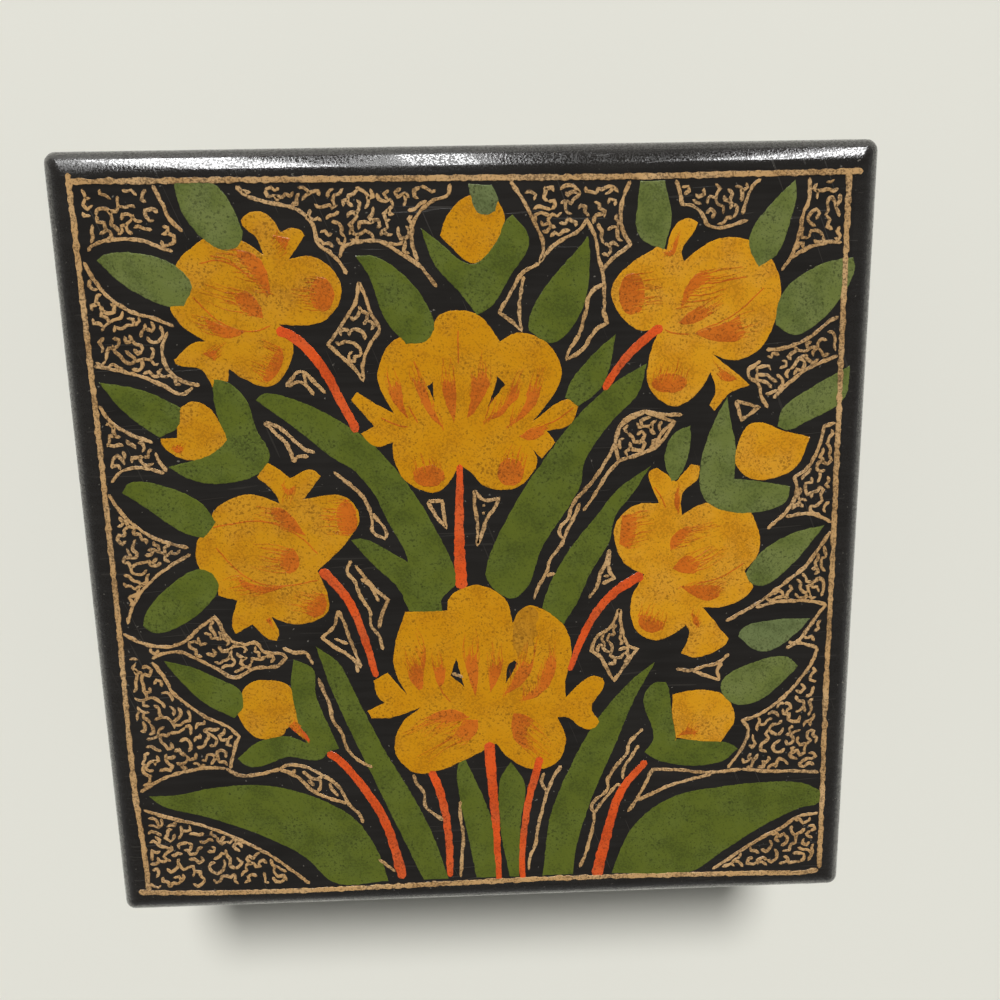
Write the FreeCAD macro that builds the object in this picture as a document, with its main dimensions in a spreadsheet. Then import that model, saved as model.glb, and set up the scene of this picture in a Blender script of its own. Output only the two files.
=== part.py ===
"""Square papier mache box with a lift-off lid, as a parametric document in millimetres.

The box is made from pulp board. A floor board carries four mitred walls, and four thin collar strips
are glued inside the walls and stand above the rim. The lid is a thicker board with a rounded-over edge
on four mitred walls of its own. It drops over the collar and rests rim to rim on the base.

The frame stands the box on the plane z = 0, with the origin under the middle of the floor board.
+X is the right-hand side of the painted face, +Y its top, and +Z goes up through the lid.
"""

import FreeCAD
import Part
import Sketcher
import math
import os

# Driving dimensions: name, millimetres, what the size is
SIZES = (
    ("box_side", 127.0, "outside width and depth of the base and of the lid"),
    ("base_height", 33.0, "from the floor's underside to the base's rim"),
    ("lid_height", 18.0, "from the lid's rim to its painted face"),
    ("wall_thickness", 3.2, "board of the base's walls"),
    ("floor_thickness", 3.0, "board of the floor"),
    ("top_thickness", 5.0, "board of the lid's top"),
    ("corner_round", 1.8, "plan radius of the upright corners"),
    ("top_edge_round", 4.2, "round-over along the four edges of the painted face"),
    ("foot_round", 1.2, "round along the bottom edge of the floor board"),
    ("rim_round", 0.4, "softened outer edge of both rims, which shows as a fine groove"),
    ("collar_thickness", 1.6, "strip of the locating collar"),
    ("collar_rise", 6.0, "collar above the base's rim"),
    ("collar_seat", 10.0, "collar glued to the walls below the rim"),
    ("collar_ease", 0.4, "rounded lead-in along the collar's top edges"),
    ("lid_clearance", 0.35, "gap between the collar and the lid's walls"),
)

# Largest part of a board's thickness or of a corner's radius that a round may take
SHARES = (("round_limit_share", 0.9, "share of a board's thickness or of a corner's radius"),)

# Sides of the box in the order that quarter turns about +Z bring the front wall to them
SIDES = ("front", "right", "back", "left")
QUARTER_TURN_DEG = 90
MITRE = math.pi / 4

# How a sketch numbers the ends and the centre of a curve, and its own origin and upright axis
START, END, CENTRE = range(1, 4)
ORIGIN, Y_AXIS = range(-1, -3, -1)
NEAR = 1e-6

doc = FreeCAD.newDocument("papier_mache_box")


def make_sheet():
    """Write every driving dimension to the sheet, under its own name."""
    sheet = doc.addObject("Spreadsheet::Sheet", "Sizes")
    for row, (name, value, meaning) in enumerate(SIZES + SHARES, start=1):
        sheet.set(f"A{row}", name)
        sheet.set(f"B{row}", str(value))
        sheet.set(f"C{row}", meaning)
        sheet.setAlias(f"B{row}", name)
    doc.recompute()
    return sheet


sheet = make_sheet()


def point(x, y):
    return FreeCAD.Vector(x, y, 0)


def make_body(name, height=None, quarter_turns=0):
    """Start one piece, lifted to a height given by an expression and turned to its side of the box."""
    body = doc.addObject("PartDesign::Body", name)
    body.Label = name
    turn = FreeCAD.Rotation(FreeCAD.Vector(0, 0, 1), quarter_turns * QUARTER_TURN_DEG)
    body.Placement = FreeCAD.Placement(FreeCAD.Vector(0, 0, 0), turn)
    if height:
        body.setExpression("Placement.Base.z", height)
    return body


def plan_sketch(body, name):
    """Start a sketch on the plan plane of its own body."""
    plane = next(f for f in body.Origin.OriginFeatures if f.Role == "XY_Plane")
    sketch = body.newObject("Sketcher::SketchObject", name)
    sketch.AttachmentSupport = [(plane, "")]
    sketch.MapMode = "FlatFace"
    return sketch


def bind(sketch, name, constraint, expression):
    """Add a constraint with a name and tie it to the sheet."""
    index = sketch.addConstraint(constraint)
    sketch.renameConstraint(index, name)
    sketch.setExpression(f"Constraints.{name}", expression)


def add_rounded_square(sketch):
    """Outline of a board in plan: a square about the origin with rounded corners."""
    half = sheet.box_side / 2
    radius = sheet.corner_round
    flat = half - radius
    first = sketch.GeometryCount
    for turn in range(4):
        spin = FreeCAD.Rotation(FreeCAD.Vector(0, 0, 1), turn * QUARTER_TURN_DEG)
        start = spin.multVec(point(-flat, -half))
        end = spin.multVec(point(flat, -half))
        circle = Part.Circle(spin.multVec(point(flat, -flat)), FreeCAD.Vector(0, 0, 1), radius)
        angle = (turn - 1) * math.pi / 2
        sketch.addGeometry(Part.LineSegment(start, end))
        sketch.addGeometry(Part.ArcOfCircle(circle, angle, angle + math.pi / 2))
    lines = [first, first + 2, first + 4, first + 6]
    arcs = [first + 1, first + 3, first + 5, first + 7]
    for turn in range(4):
        line, arc, following = lines[turn], arcs[turn], lines[(turn + 1) % 4]
        sketch.addConstraint(Sketcher.Constraint("Tangent", line, END, arc, START))
        sketch.addConstraint(Sketcher.Constraint("Tangent", arc, END, following, START))
    for index in (0, 2):
        sketch.addConstraint(Sketcher.Constraint("Horizontal", lines[index]))
        sketch.addConstraint(Sketcher.Constraint("Vertical", lines[index + 1]))
    for arc in arcs[1:]:
        sketch.addConstraint(Sketcher.Constraint("Equal", arcs[0], arc))
    opposite = Sketcher.Constraint("Symmetric", arcs[0], CENTRE, arcs[2], CENTRE, ORIGIN, START)
    sketch.addConstraint(opposite)
    bind(sketch, "corner", Sketcher.Constraint("Radius", arcs[0], radius), "Sizes.corner_round")
    width = Sketcher.Constraint("DistanceX", lines[0], START, lines[0], END, 2 * flat)
    depth = Sketcher.Constraint("DistanceY", lines[1], START, lines[1], END, 2 * flat)
    straight = "Sizes.box_side - 2 * Sizes.corner_round"
    bind(sketch, "straight_width", width, straight)
    bind(sketch, "straight_depth", depth, straight)


def add_square(sketch):
    """Outline of a board with sharp corners, as it is sawn before its edges are rounded."""
    half = sheet.box_side / 2
    corners = (point(-half, -half), point(half, -half), point(half, half), point(-half, half))
    for index, corner in enumerate(corners):
        sketch.addGeometry(Part.LineSegment(corner, corners[(index + 1) % 4]))
    for line in range(4):
        joined = Sketcher.Constraint("Coincident", line, END, (line + 1) % 4, START)
        sketch.addConstraint(joined)
    for line in (0, 2):
        sketch.addConstraint(Sketcher.Constraint("Horizontal", line))
        sketch.addConstraint(Sketcher.Constraint("Vertical", line + 1))
    sketch.addConstraint(Sketcher.Constraint("Symmetric", 0, START, 1, END, ORIGIN, START))
    width = Sketcher.Constraint("DistanceX", 0, START, 0, END, 2 * half)
    depth = Sketcher.Constraint("DistanceY", 1, START, 1, END, 2 * half)
    bind(sketch, "width", width, "Sizes.box_side")
    bind(sketch, "depth", depth, "Sizes.box_side")


def add_wall_plan(sketch, inner_half, inner_expression):
    """Plan of a front wall: mitred ends, and half of each rounded corner of the box."""
    half = sheet.box_side / 2
    radius = sheet.corner_round
    flat = half - radius
    skew = radius * math.sin(MITRE)
    up = FreeCAD.Vector(0, 0, 1)
    right_corner = Part.Circle(point(flat, -flat), up, radius)
    left_corner = Part.Circle(point(-flat, -flat), up, radius)
    down = -math.pi / 2
    outline = (
        Part.LineSegment(point(-inner_half, -inner_half), point(inner_half, -inner_half)),
        Part.LineSegment(point(inner_half, -inner_half), point(flat + skew, -flat - skew)),
        Part.ArcOfCircle(right_corner, down, down + MITRE),
        Part.LineSegment(point(flat, -half), point(-flat, -half)),
        Part.ArcOfCircle(left_corner, down - MITRE, down),
        Part.LineSegment(point(-flat - skew, -flat - skew), point(-inner_half, -inner_half)),
    )
    inside, right_mitre, right_arc, outside, left_arc, left_mitre = range(6)
    for edge in outline:
        sketch.addGeometry(edge)
    for constraint in (
        Sketcher.Constraint("Coincident", inside, END, right_mitre, START),
        Sketcher.Constraint("Coincident", right_mitre, END, right_arc, END),
        Sketcher.Constraint("Tangent", right_arc, START, outside, START),
        Sketcher.Constraint("Tangent", outside, END, left_arc, END),
        Sketcher.Constraint("Coincident", left_arc, START, left_mitre, START),
        Sketcher.Constraint("Coincident", left_mitre, END, inside, START),
        Sketcher.Constraint("Symmetric", inside, START, inside, END, Y_AXIS),
        Sketcher.Constraint("Symmetric", outside, START, outside, END, Y_AXIS),
        Sketcher.Constraint("Equal", right_arc, left_arc),
        Sketcher.Constraint("Angle", right_mitre, -MITRE),
        Sketcher.Constraint("Angle", left_mitre, MITRE),
    ):
        sketch.addConstraint(constraint)
    radius_constraint = Sketcher.Constraint("Radius", right_arc, radius)
    bind(sketch, "corner", radius_constraint, "Sizes.corner_round")
    for name, line, height in (("inner", inside, inner_half), ("outer", outside, half)):
        across = Sketcher.Constraint("DistanceY", line, START, ORIGIN, START, height)
        expression = inner_expression if name == "inner" else "Sizes.box_side / 2"
        bind(sketch, f"{name}_face", across, expression)
    width = Sketcher.Constraint("DistanceX", inside, START, inside, END, 2 * inner_half)
    bind(sketch, "inner_width", width, f"2 * ({inner_expression})")
    straight = Sketcher.Constraint("DistanceX", outside, END, outside, START, 2 * flat)
    bind(sketch, "outer_width", straight, "Sizes.box_side - 2 * Sizes.corner_round")


def add_strip_plan(sketch):
    """Plan of a front collar strip: mitred ends, its outer face glued to the wall."""
    outer = sheet.box_side / 2 - sheet.wall_thickness
    inner = outer - sheet.collar_thickness
    corners = (point(-outer, -outer), point(outer, -outer), point(inner, -inner), point(-inner, -inner))
    for index, corner in enumerate(corners):
        sketch.addGeometry(Part.LineSegment(corner, corners[(index + 1) % 4]))
    glued, right_mitre, inside, left_mitre = range(4)
    for constraint in (
        Sketcher.Constraint("Coincident", glued, END, right_mitre, START),
        Sketcher.Constraint("Coincident", right_mitre, END, inside, START),
        Sketcher.Constraint("Coincident", inside, END, left_mitre, START),
        Sketcher.Constraint("Coincident", left_mitre, END, glued, START),
        Sketcher.Constraint("Symmetric", glued, START, glued, END, Y_AXIS),
        Sketcher.Constraint("Symmetric", inside, START, inside, END, Y_AXIS),
    ):
        sketch.addConstraint(constraint)
    outer_half = "Sizes.box_side / 2 - Sizes.wall_thickness"
    inner_half = f"{outer_half} - Sizes.collar_thickness"
    for name, line, near, far, reach, expression in (
        ("glued", glued, START, END, outer, outer_half),
        ("inside", inside, END, START, inner, inner_half),
    ):
        across = Sketcher.Constraint("DistanceY", line, START, ORIGIN, START, reach)
        bind(sketch, f"{name}_face", across, expression)
        width = Sketcher.Constraint("DistanceX", line, near, line, far, 2 * reach)
        bind(sketch, f"{name}_width", width, f"2 * ({expression})")


def pad(body, sketch, name, expression):
    """Raise a sketch into a board of a bound thickness or height."""
    feature = body.newObject("PartDesign::Pad", name)
    feature.Profile = sketch
    feature.setExpression("Length", expression)
    sketch.Visibility = False
    doc.recompute()
    return feature


def edges_where(feature, keep):
    """Names of the edges of a feature whose every end point passes a test."""
    return [
        f"Edge{index}"
        for index, edge in enumerate(feature.Shape.Edges, start=1)
        if all(keep(vertex.Point) for vertex in edge.Vertexes)
    ]


def fillet(body, base, name, edges, expression):
    """Round a set of edges with a bound radius."""
    feature = body.newObject("PartDesign::Fillet", name)
    feature.Base = (base, edges)
    feature.setExpression("Radius", expression)
    doc.recompute()
    return feature


def limited(size, *thicknesses):
    """Expression for a round that never takes more than its share of the boards it lies on."""
    limits = "; ".join(f"Sizes.{name} * Sizes.round_limit_share" for name in thicknesses)
    return f"min(Sizes.{size}; {limits})"


def make_floor():
    """Floor board under the walls, with its bottom edge rounded."""
    body = make_body("base_floor")
    sketch = plan_sketch(body, "floor_plan")
    add_rounded_square(sketch)
    board = pad(body, sketch, "floor_board", "Sizes.floor_thickness")
    bottom_edges = edges_where(board, lambda p: abs(p.z) < NEAR)
    radius = limited("foot_round", "floor_thickness", "corner_round")
    fillet(body, board, "floor_foot_round", bottom_edges, radius)
    return body


def make_wall(name, turns, z, thickness, height, rim_at_top):
    """One wall of the base or of the lid, with a softened outer edge along its rim."""
    body = make_body(name, z, turns)
    sketch = plan_sketch(body, f"{name}_plan")
    expression = f"Sizes.box_side / 2 - ({thickness})"
    inner_half = float(sheet.evalExpression(expression))
    add_wall_plan(sketch, inner_half, expression)
    board = pad(body, sketch, f"{name}_board", height)
    rim = board.Shape.BoundBox.ZMax if rim_at_top else board.Shape.BoundBox.ZMin
    outside = sheet.corner_round - sheet.box_side / 2
    rim_edges = edges_where(board, lambda p: abs(p.z - rim) < NEAR and p.y < outside)
    radius = limited("rim_round", "wall_thickness", "corner_round")
    fillet(body, board, f"{name}_rim_round", rim_edges, radius)
    return body


def make_collar_strip(name, turns):
    """One strip of the collar, glued inside a wall and standing above the rim."""
    body = make_body(name, "Sizes.base_height - Sizes.collar_seat", turns)
    sketch = plan_sketch(body, f"{name}_plan")
    add_strip_plan(sketch)
    strip = pad(body, sketch, f"{name}_board", "Sizes.collar_seat + Sizes.collar_rise")
    top = strip.Shape.BoundBox.ZMax
    outer = sheet.wall_thickness - sheet.box_side / 2
    top_edges = edges_where(strip, lambda p: abs(p.z - top) < NEAR and abs(p.y - outer) < NEAR)
    radius = limited("collar_ease", "collar_thickness", "collar_rise")
    fillet(body, strip, f"{name}_ease", top_edges, radius)
    return body


def make_lid_top():
    """Lid board: square, rounded over on its four upper edges, then softened down its four corners."""
    body = make_body("lid_top", "Sizes.base_height + Sizes.lid_height - Sizes.top_thickness")
    square = plan_sketch(body, "lid_top_square")
    add_square(square)
    board = pad(body, square, "lid_top_board", "Sizes.top_thickness")
    top = board.Shape.BoundBox.ZMax
    top_edges = edges_where(board, lambda p: abs(p.z - top) < NEAR)
    rounded = fillet(body, board, "lid_top_round", top_edges, limited("top_edge_round", "top_thickness"))
    before = rounded.Shape.Volume
    corner_edges = []
    for side in (-1, 1):
        for end in (-1, 1):
            corner_edges += edges_where(rounded, lambda p: p.x * side > 0 and p.y * end > 0)
    softened = fillet(body, rounded, "lid_top_corners", corner_edges, "Sizes.corner_round")
    if not softened.Shape.Volume < before:
        raise RuntimeError("the corner rounds of lid_top removed nothing")
    return body


def make_pieces():
    """Every piece of the box, base first."""
    pieces = [make_floor()]
    base_wall_height = "Sizes.base_height - Sizes.floor_thickness"
    for turns, side in enumerate(SIDES):
        pieces.append(
            make_wall(
                f"base_wall_{side}", turns, "Sizes.floor_thickness", "Sizes.wall_thickness",
                base_wall_height, rim_at_top=True,
            )
        )
    for turns, side in enumerate(SIDES):
        pieces.append(make_collar_strip(f"collar_{side}", turns))
    lid_wall_thickness = "Sizes.wall_thickness - Sizes.lid_clearance"
    lid_wall_height = "Sizes.lid_height - Sizes.top_thickness"
    for turns, side in enumerate(SIDES):
        pieces.append(
            make_wall(
                f"lid_wall_{side}", turns, "Sizes.base_height", lid_wall_thickness,
                lid_wall_height, rim_at_top=False,
            )
        )
    pieces.append(make_lid_top())
    return pieces


def check_and_write(pieces):
    """Stop on any failed object or piece, then write each piece to its own file."""
    doc.recompute()
    for item in doc.Objects:
        if "Invalid" in item.State or "Error" in item.State:
            raise RuntimeError(f"{item.Label} failed: {item.State}")
    for piece in pieces:
        shape = piece.Shape
        if shape.isNull() or not shape.isValid() or len(shape.Solids) != 1:
            raise RuntimeError(f"{piece.Label} is not one valid solid")
    os.makedirs("parts", exist_ok=True)
    for piece in pieces:
        piece.Shape.exportStep(f"parts/{piece.Label}.step")
        box = piece.Shape.BoundBox
        spans = f"{box.XLength:.2f} x {box.YLength:.2f} x {box.ZLength:.2f}"
        print(f"{piece.Label}: {spans} mm, from z {box.ZMin:.2f}, {piece.Shape.Volume:.1f} mm3")


check_and_write(make_pieces())
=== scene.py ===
import math
import random
import re

import bpy
from mathutils import Euler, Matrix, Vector, noise
from mathutils.geometry import intersect_point_line, tessellate_polygon


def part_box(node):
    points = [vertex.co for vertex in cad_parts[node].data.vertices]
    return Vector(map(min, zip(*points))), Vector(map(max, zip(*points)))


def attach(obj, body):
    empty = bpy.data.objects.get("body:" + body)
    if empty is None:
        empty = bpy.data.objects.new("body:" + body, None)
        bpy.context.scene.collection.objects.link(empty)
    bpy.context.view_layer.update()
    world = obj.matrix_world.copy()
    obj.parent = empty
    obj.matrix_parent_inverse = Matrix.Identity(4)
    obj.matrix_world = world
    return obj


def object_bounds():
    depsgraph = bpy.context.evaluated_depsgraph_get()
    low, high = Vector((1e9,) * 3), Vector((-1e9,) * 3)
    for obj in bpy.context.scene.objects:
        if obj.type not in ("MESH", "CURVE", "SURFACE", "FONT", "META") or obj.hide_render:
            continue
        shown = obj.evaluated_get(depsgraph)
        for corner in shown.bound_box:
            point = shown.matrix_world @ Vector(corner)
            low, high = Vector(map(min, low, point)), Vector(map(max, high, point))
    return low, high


bl_info = {
    "name": "Kashmiri papier mache box",
    "version": (1, 0, 0),
    "blender": (4, 5, 0),
    "location": "3D View > Sidebar > Box",
    "description": "Lacquers a square papier mache box and paints its lid with a flower spray",
    "category": "Object",
}

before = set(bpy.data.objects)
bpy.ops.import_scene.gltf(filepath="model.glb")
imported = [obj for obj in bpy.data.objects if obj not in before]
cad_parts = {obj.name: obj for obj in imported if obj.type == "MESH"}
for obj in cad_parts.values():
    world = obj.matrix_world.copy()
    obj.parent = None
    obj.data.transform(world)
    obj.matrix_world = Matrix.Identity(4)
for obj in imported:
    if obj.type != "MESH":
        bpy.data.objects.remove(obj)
cad_low, cad_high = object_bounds()
lid_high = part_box("lid_top")[1]

MM = 0.001

# The lid's face: a flat square inside the rounded edge
HALF_SIDE = lid_high.x
EDGE_ROUND = 4.2 * MM
FACE_HALF = HALF_SIDE - EDGE_ROUND
FACE_Z = lid_high.z
# How far paint reaches below the face, so that none of it floats
SUNK = 0.02 * MM

# The ornament was drawn in its own millimetres, which these turn into the lid's
X_SCALE, Y_SCALE = 0.977, 0.979
X_SHIFT, Y_SHIFT = 0.01, 0.66

# How the brush follows an outline: lengths in millimetres, shakes by the waves per millimetre
CURVE_STEP = 0.3
SHARP_TURN = math.radians(60)
WOBBLE = 0.08
WOBBLE_SCALE = 1.1
RAGGED = 0.075
RAGGED_SCALE = 2.1
SPOT_SIDES = 30
# The noise that shakes the hand starts from the clock unless it is given a seed
HAND_SEED = 5
noise.seed_set(HAND_SEED)
# A later patch or line lies this much higher, in millimetres, than the one before it
STEP_UP = 0.0012
# The rounded rim of a patch and of a stroke
RIM = 0.14 * MM
STROKE_RIM = 0.06 * MM

# How a curl wanders: the shares of its step, the angles in radians that it may bend by, and how often
# it bends back
CURL_REACH = (0.7, 1.25)
CURL_BEND = (0.2, 1.6)
BEND_BACK = 0.5
FEWEST_BENDS = 3
# The fewest points of a curl, at first and once this share of the tries is used
LONG_CURL, SHORT_CURL = 4, 3
LONG_CURLS_FIRST = 0.6
# How uneven the width of a painted stroke, a curl and a gold line is
STROKE_RAGGED = 0.18
CURL_RAGGED = 0.4
LINE_RAGGED = 0.45

# Feathering of a shaded patch: where its dark and light strokes start and end, in millimetres or, for
# the dark reach, as shares of the pull
SHADING_SEED = 7
DARK_START = (0.5, 1.3)
DARK_REACH = (0.45, 1.12)
LIGHT_START = 0.35
LIGHT_REACH = (0.5, 1.6)
BRISTLE_BEND = 0.1
# Neighbouring bristles lie at this many heights, so that none shares a face with the next
BRISTLE_LEVELS = 3
# A bristle starts at the foremost of this many points of the outline that are nearest to its lane
NEAREST_POINTS = 4
# The worn patch lies this much above its petal, in millimetres
SMUDGE_LIFT = 0.005

# The ornament's drawing, in pattern millimetres: x to the right and y to the back of the lid.
# A name is followed by its outlines, each of points "x,y x,y", with "/" between two outlines
LEAVES = """
leaves_upper_left:
-44.4,58.7 -43.7,55 -42.2,52.3 -38.5,49 -36,48.8 -34.6,50.7 -35,52.9 -36.6,56.6 -38.8,58.7 /
-57.1,47.6 -56,48.4 -48.2,48 -44.1,45.7 -42.9,43.5 -44.4,40.5 -46.9,40.5 -53.5,44
leaves_upper_right:
26.8,57.9 30.6,57.9 31.7,52.3 30.6,47.6 27.4,49.1 26.3,51 26.5,55.1 /
50.9,57.7 48.1,55.1 44.3,50.1 44,47.9 45.6,44.6 48.4,46.6 50.6,52.6 51.2,55.4 /
60.6,46 60.9,44.1 58.7,39.4 54.3,35.1 51.8,34.1 48.7,35.7 48.7,38.5 50.3,41.6 55.9,45.1
leaves_left_bud:
-58.8,29.1 -51.9,27.6 -46.3,24.8 -46.8,22 -50,20.1 -52.6,21.9 -55.7,24.8 /
-40.8,29.2 -38.8,28.8 -35.7,25.4 -34.8,21.4 -32.8,16.8 -33.8,14.7 -36,13.3 -42.3,12.4 -46,13.3 -49.1,15.3
-42.3,17.2 -39.4,19.4 -40.7,23.8 -41,26.6
leaves_middle_left:
-56.9,11.3 -55.7,12.8 -50.1,12.2 -44.4,9.3 -42.1,6.1 -44.4,3.3 -47.9,4.6 -53.2,8.6 /
-55.7,-11.3 -54.1,-12.5 -51.6,-12.3 -45.4,-8.6 -42.7,-4.8 -43.5,-2.6 -45.4,-1.8 -50.7,-4.5 -55.1,-9.2
leaves_lower_left_bud:
-52.9,-17.5 -48.5,-18.7 -44.1,-20.9 -40.4,-23.4 -40.4,-26.5 -41.9,-28.1 -46.6,-25.3 -51,-20.3 /
-31.2,-17.9 -28,-19.8 -27.9,-24 -25.7,-30.9 -24.4,-34.3 -26.3,-34.9 -27.6,-36.2 -33.5,-35.6 -37.9,-37.1
-40.1,-37.1 -41.9,-35.6 -38.5,-32.8 -33.5,-31.7 -29.8,-33.1 -31,-29.9 -31.9,-22.1
leaves_crown:
-17.5,47.6 -14.9,47.6 -11.4,45.7 -7.4,41.3 -5.7,36.6 -6.8,34.4 -10.2,33.9 -13.3,37.9 -15.5,44.4 /
18.7,49.9 19,47.3 17.9,39.1 14.5,34.4 12.6,33.7 9.3,35.7 9.5,37.9 12.9,43.5 17.3,48.2 /
23.1,34.8 20.1,32.3 15.8,27.3 15,25 17,23.5 20.4,26 22.1,29.4 /
-7.2,51.6 -4.3,49.3 0.4,46 2,46.6 4.5,49.4 6.1,52.6 7,53.3 9.2,50.7 9.5,48.8 6.7,44.4 3.3,39.4 1.1,38.2
-1,41.2 -5.2,46
leaves_right_bud:
61,29.1 61,26.6 60.3,23.8 54.3,20.2 51.2,18.9 49.6,19.6 50.3,22.3 54.9,25.7 /
41.2,24.5 38.7,19.3 37.1,13.3 37.8,8 40.3,6 46.2,5.3 51.5,7.1 52.1,9.6 47.1,10.5 42.8,11.1 42.8,16.8
42.1,19.6
leaves_middle_right:
35.3,20 35.4,16.8 33.4,11.4 32.4,10.8 31.2,14.6 32.8,18.9 /
58.1,2.8 53.4,1.8 47.8,-1.4 45.1,-5.1 45.9,-6.7 48.1,-7.3 52.8,-3.9 57.1,1.4 /
52.8,-20.1 47.1,-20.9 41.8,-24 41.5,-25.6 44,-28.4 48.4,-27.8 53.1,-23.7 54.8,-21.8
leaves_lower_right_bud:
32,-24 30.3,-24 28.3,-26.3 29.9,-34.6 28.4,-36.8 31.5,-38.7 42.1,-39 44.8,-36.8 43.7,-35.9 37.8,-34.9
34,-34.6 33.1,-29.6 32.3,-24.6
"""
RUBBED_LEAVES = """
leaf_rubbed_right:
56.5,-13.3 50.3,-13.4 44.9,-14.8 44.3,-16.1 47.1,-18.6 49.6,-18.9 54.3,-15.8
leaf_cap_top_bud:
0.3,57.9 3.9,57.7 4.8,55.7 4.5,53.8 2.9,53.2 1.4,53.8
"""
BLADES = """
blades_upper:
-34.4,25.7 -33.2,26.6 -28.5,25.7 -20.1,21.3 -15.2,17.1 -9.6,9.6 -5.2,1.1 -2.7,-5.1 -4.3,-6.4 -6,-8.3
-5.7,-10.8 -11.4,-10 -12.4,-7 -11.3,-1.7 -14.6,6.1 -16.4,10.2 -19.3,13.9 -23,16.4 -28.5,21.1 /
-20.5,2.4 -18.9,2.7 -13.6,-0.1 -11.1,-2 -11.3,-9.8 -13,-6.1 -17.1,-1.7 /
28.1,30.1 23.1,27.3 17.6,22.6 11.4,14.9 6.4,7.4 1.9,-2 1.6,-4.5 4.5,-7.9 6.1,-8.3 8.6,-6.1 10.8,-0.1
15.8,7.7 17.6,11.1 17.9,13.9 22.9,21.4 26.8,25.4 /
29,13.6 23.7,9.9 20.1,5.5 15.1,-0.8 11.7,-7.3 10.9,-10.1 14.5,-13.1 17.3,-8.3 18.9,-4.5 22.3,1.4 23.1,5.2
26.2,9.3
blades_lower:
-27.3,-15.8 -23.8,-18.6 -21.1,-24.6 -16.8,-34.6 -12.4,-43.1 -8.9,-51.2 -6.4,-59.9 -10.8,-59.9 -14.3,-51.2
-18,-42.1 -23.5,-28.1 -25.1,-23.7 /
30.1,-20.3 26.5,-27.1 23.7,-34.3 19.2,-45.3 16.4,-54.9 15.8,-59.9 10.4,-59.9 12,-48.1 15.1,-39.9 20.1,-30.6
26.8,-22.8 /
-3,-36.5 -0.2,-43.4 2,-50.6 2.5,-59.9 -1.4,-59.9 -2.4,-53.4 -4.3,-40.9 -4.1,-38.4 /
5.1,-37.8 7.5,-42.1 6.7,-49 6.2,-59.9 4.5,-59.9 3.1,-50.3 3.3,-40.9 /
-57.6,-42.1 -52.6,-42 -47.3,-41 -39.1,-40.6 -32.9,-41.8 -25.4,-45.3 -22.3,-47.8 -18.6,-54.3 -17.1,-59.9
-26.5,-59.9 -31.6,-54.6 -39.4,-49.9 -48.5,-46.2 -55.4,-44 /
60.6,-45.6 56.5,-43.7 49,-43.3 40.9,-44 35.3,-44.9 30.3,-47.3 26.2,-51.5 23.7,-57.1 22.8,-59.9 36.8,-60.3
43.4,-55.9 49.6,-51.8 56.5,-48.4 59.6,-47.6
"""
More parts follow.
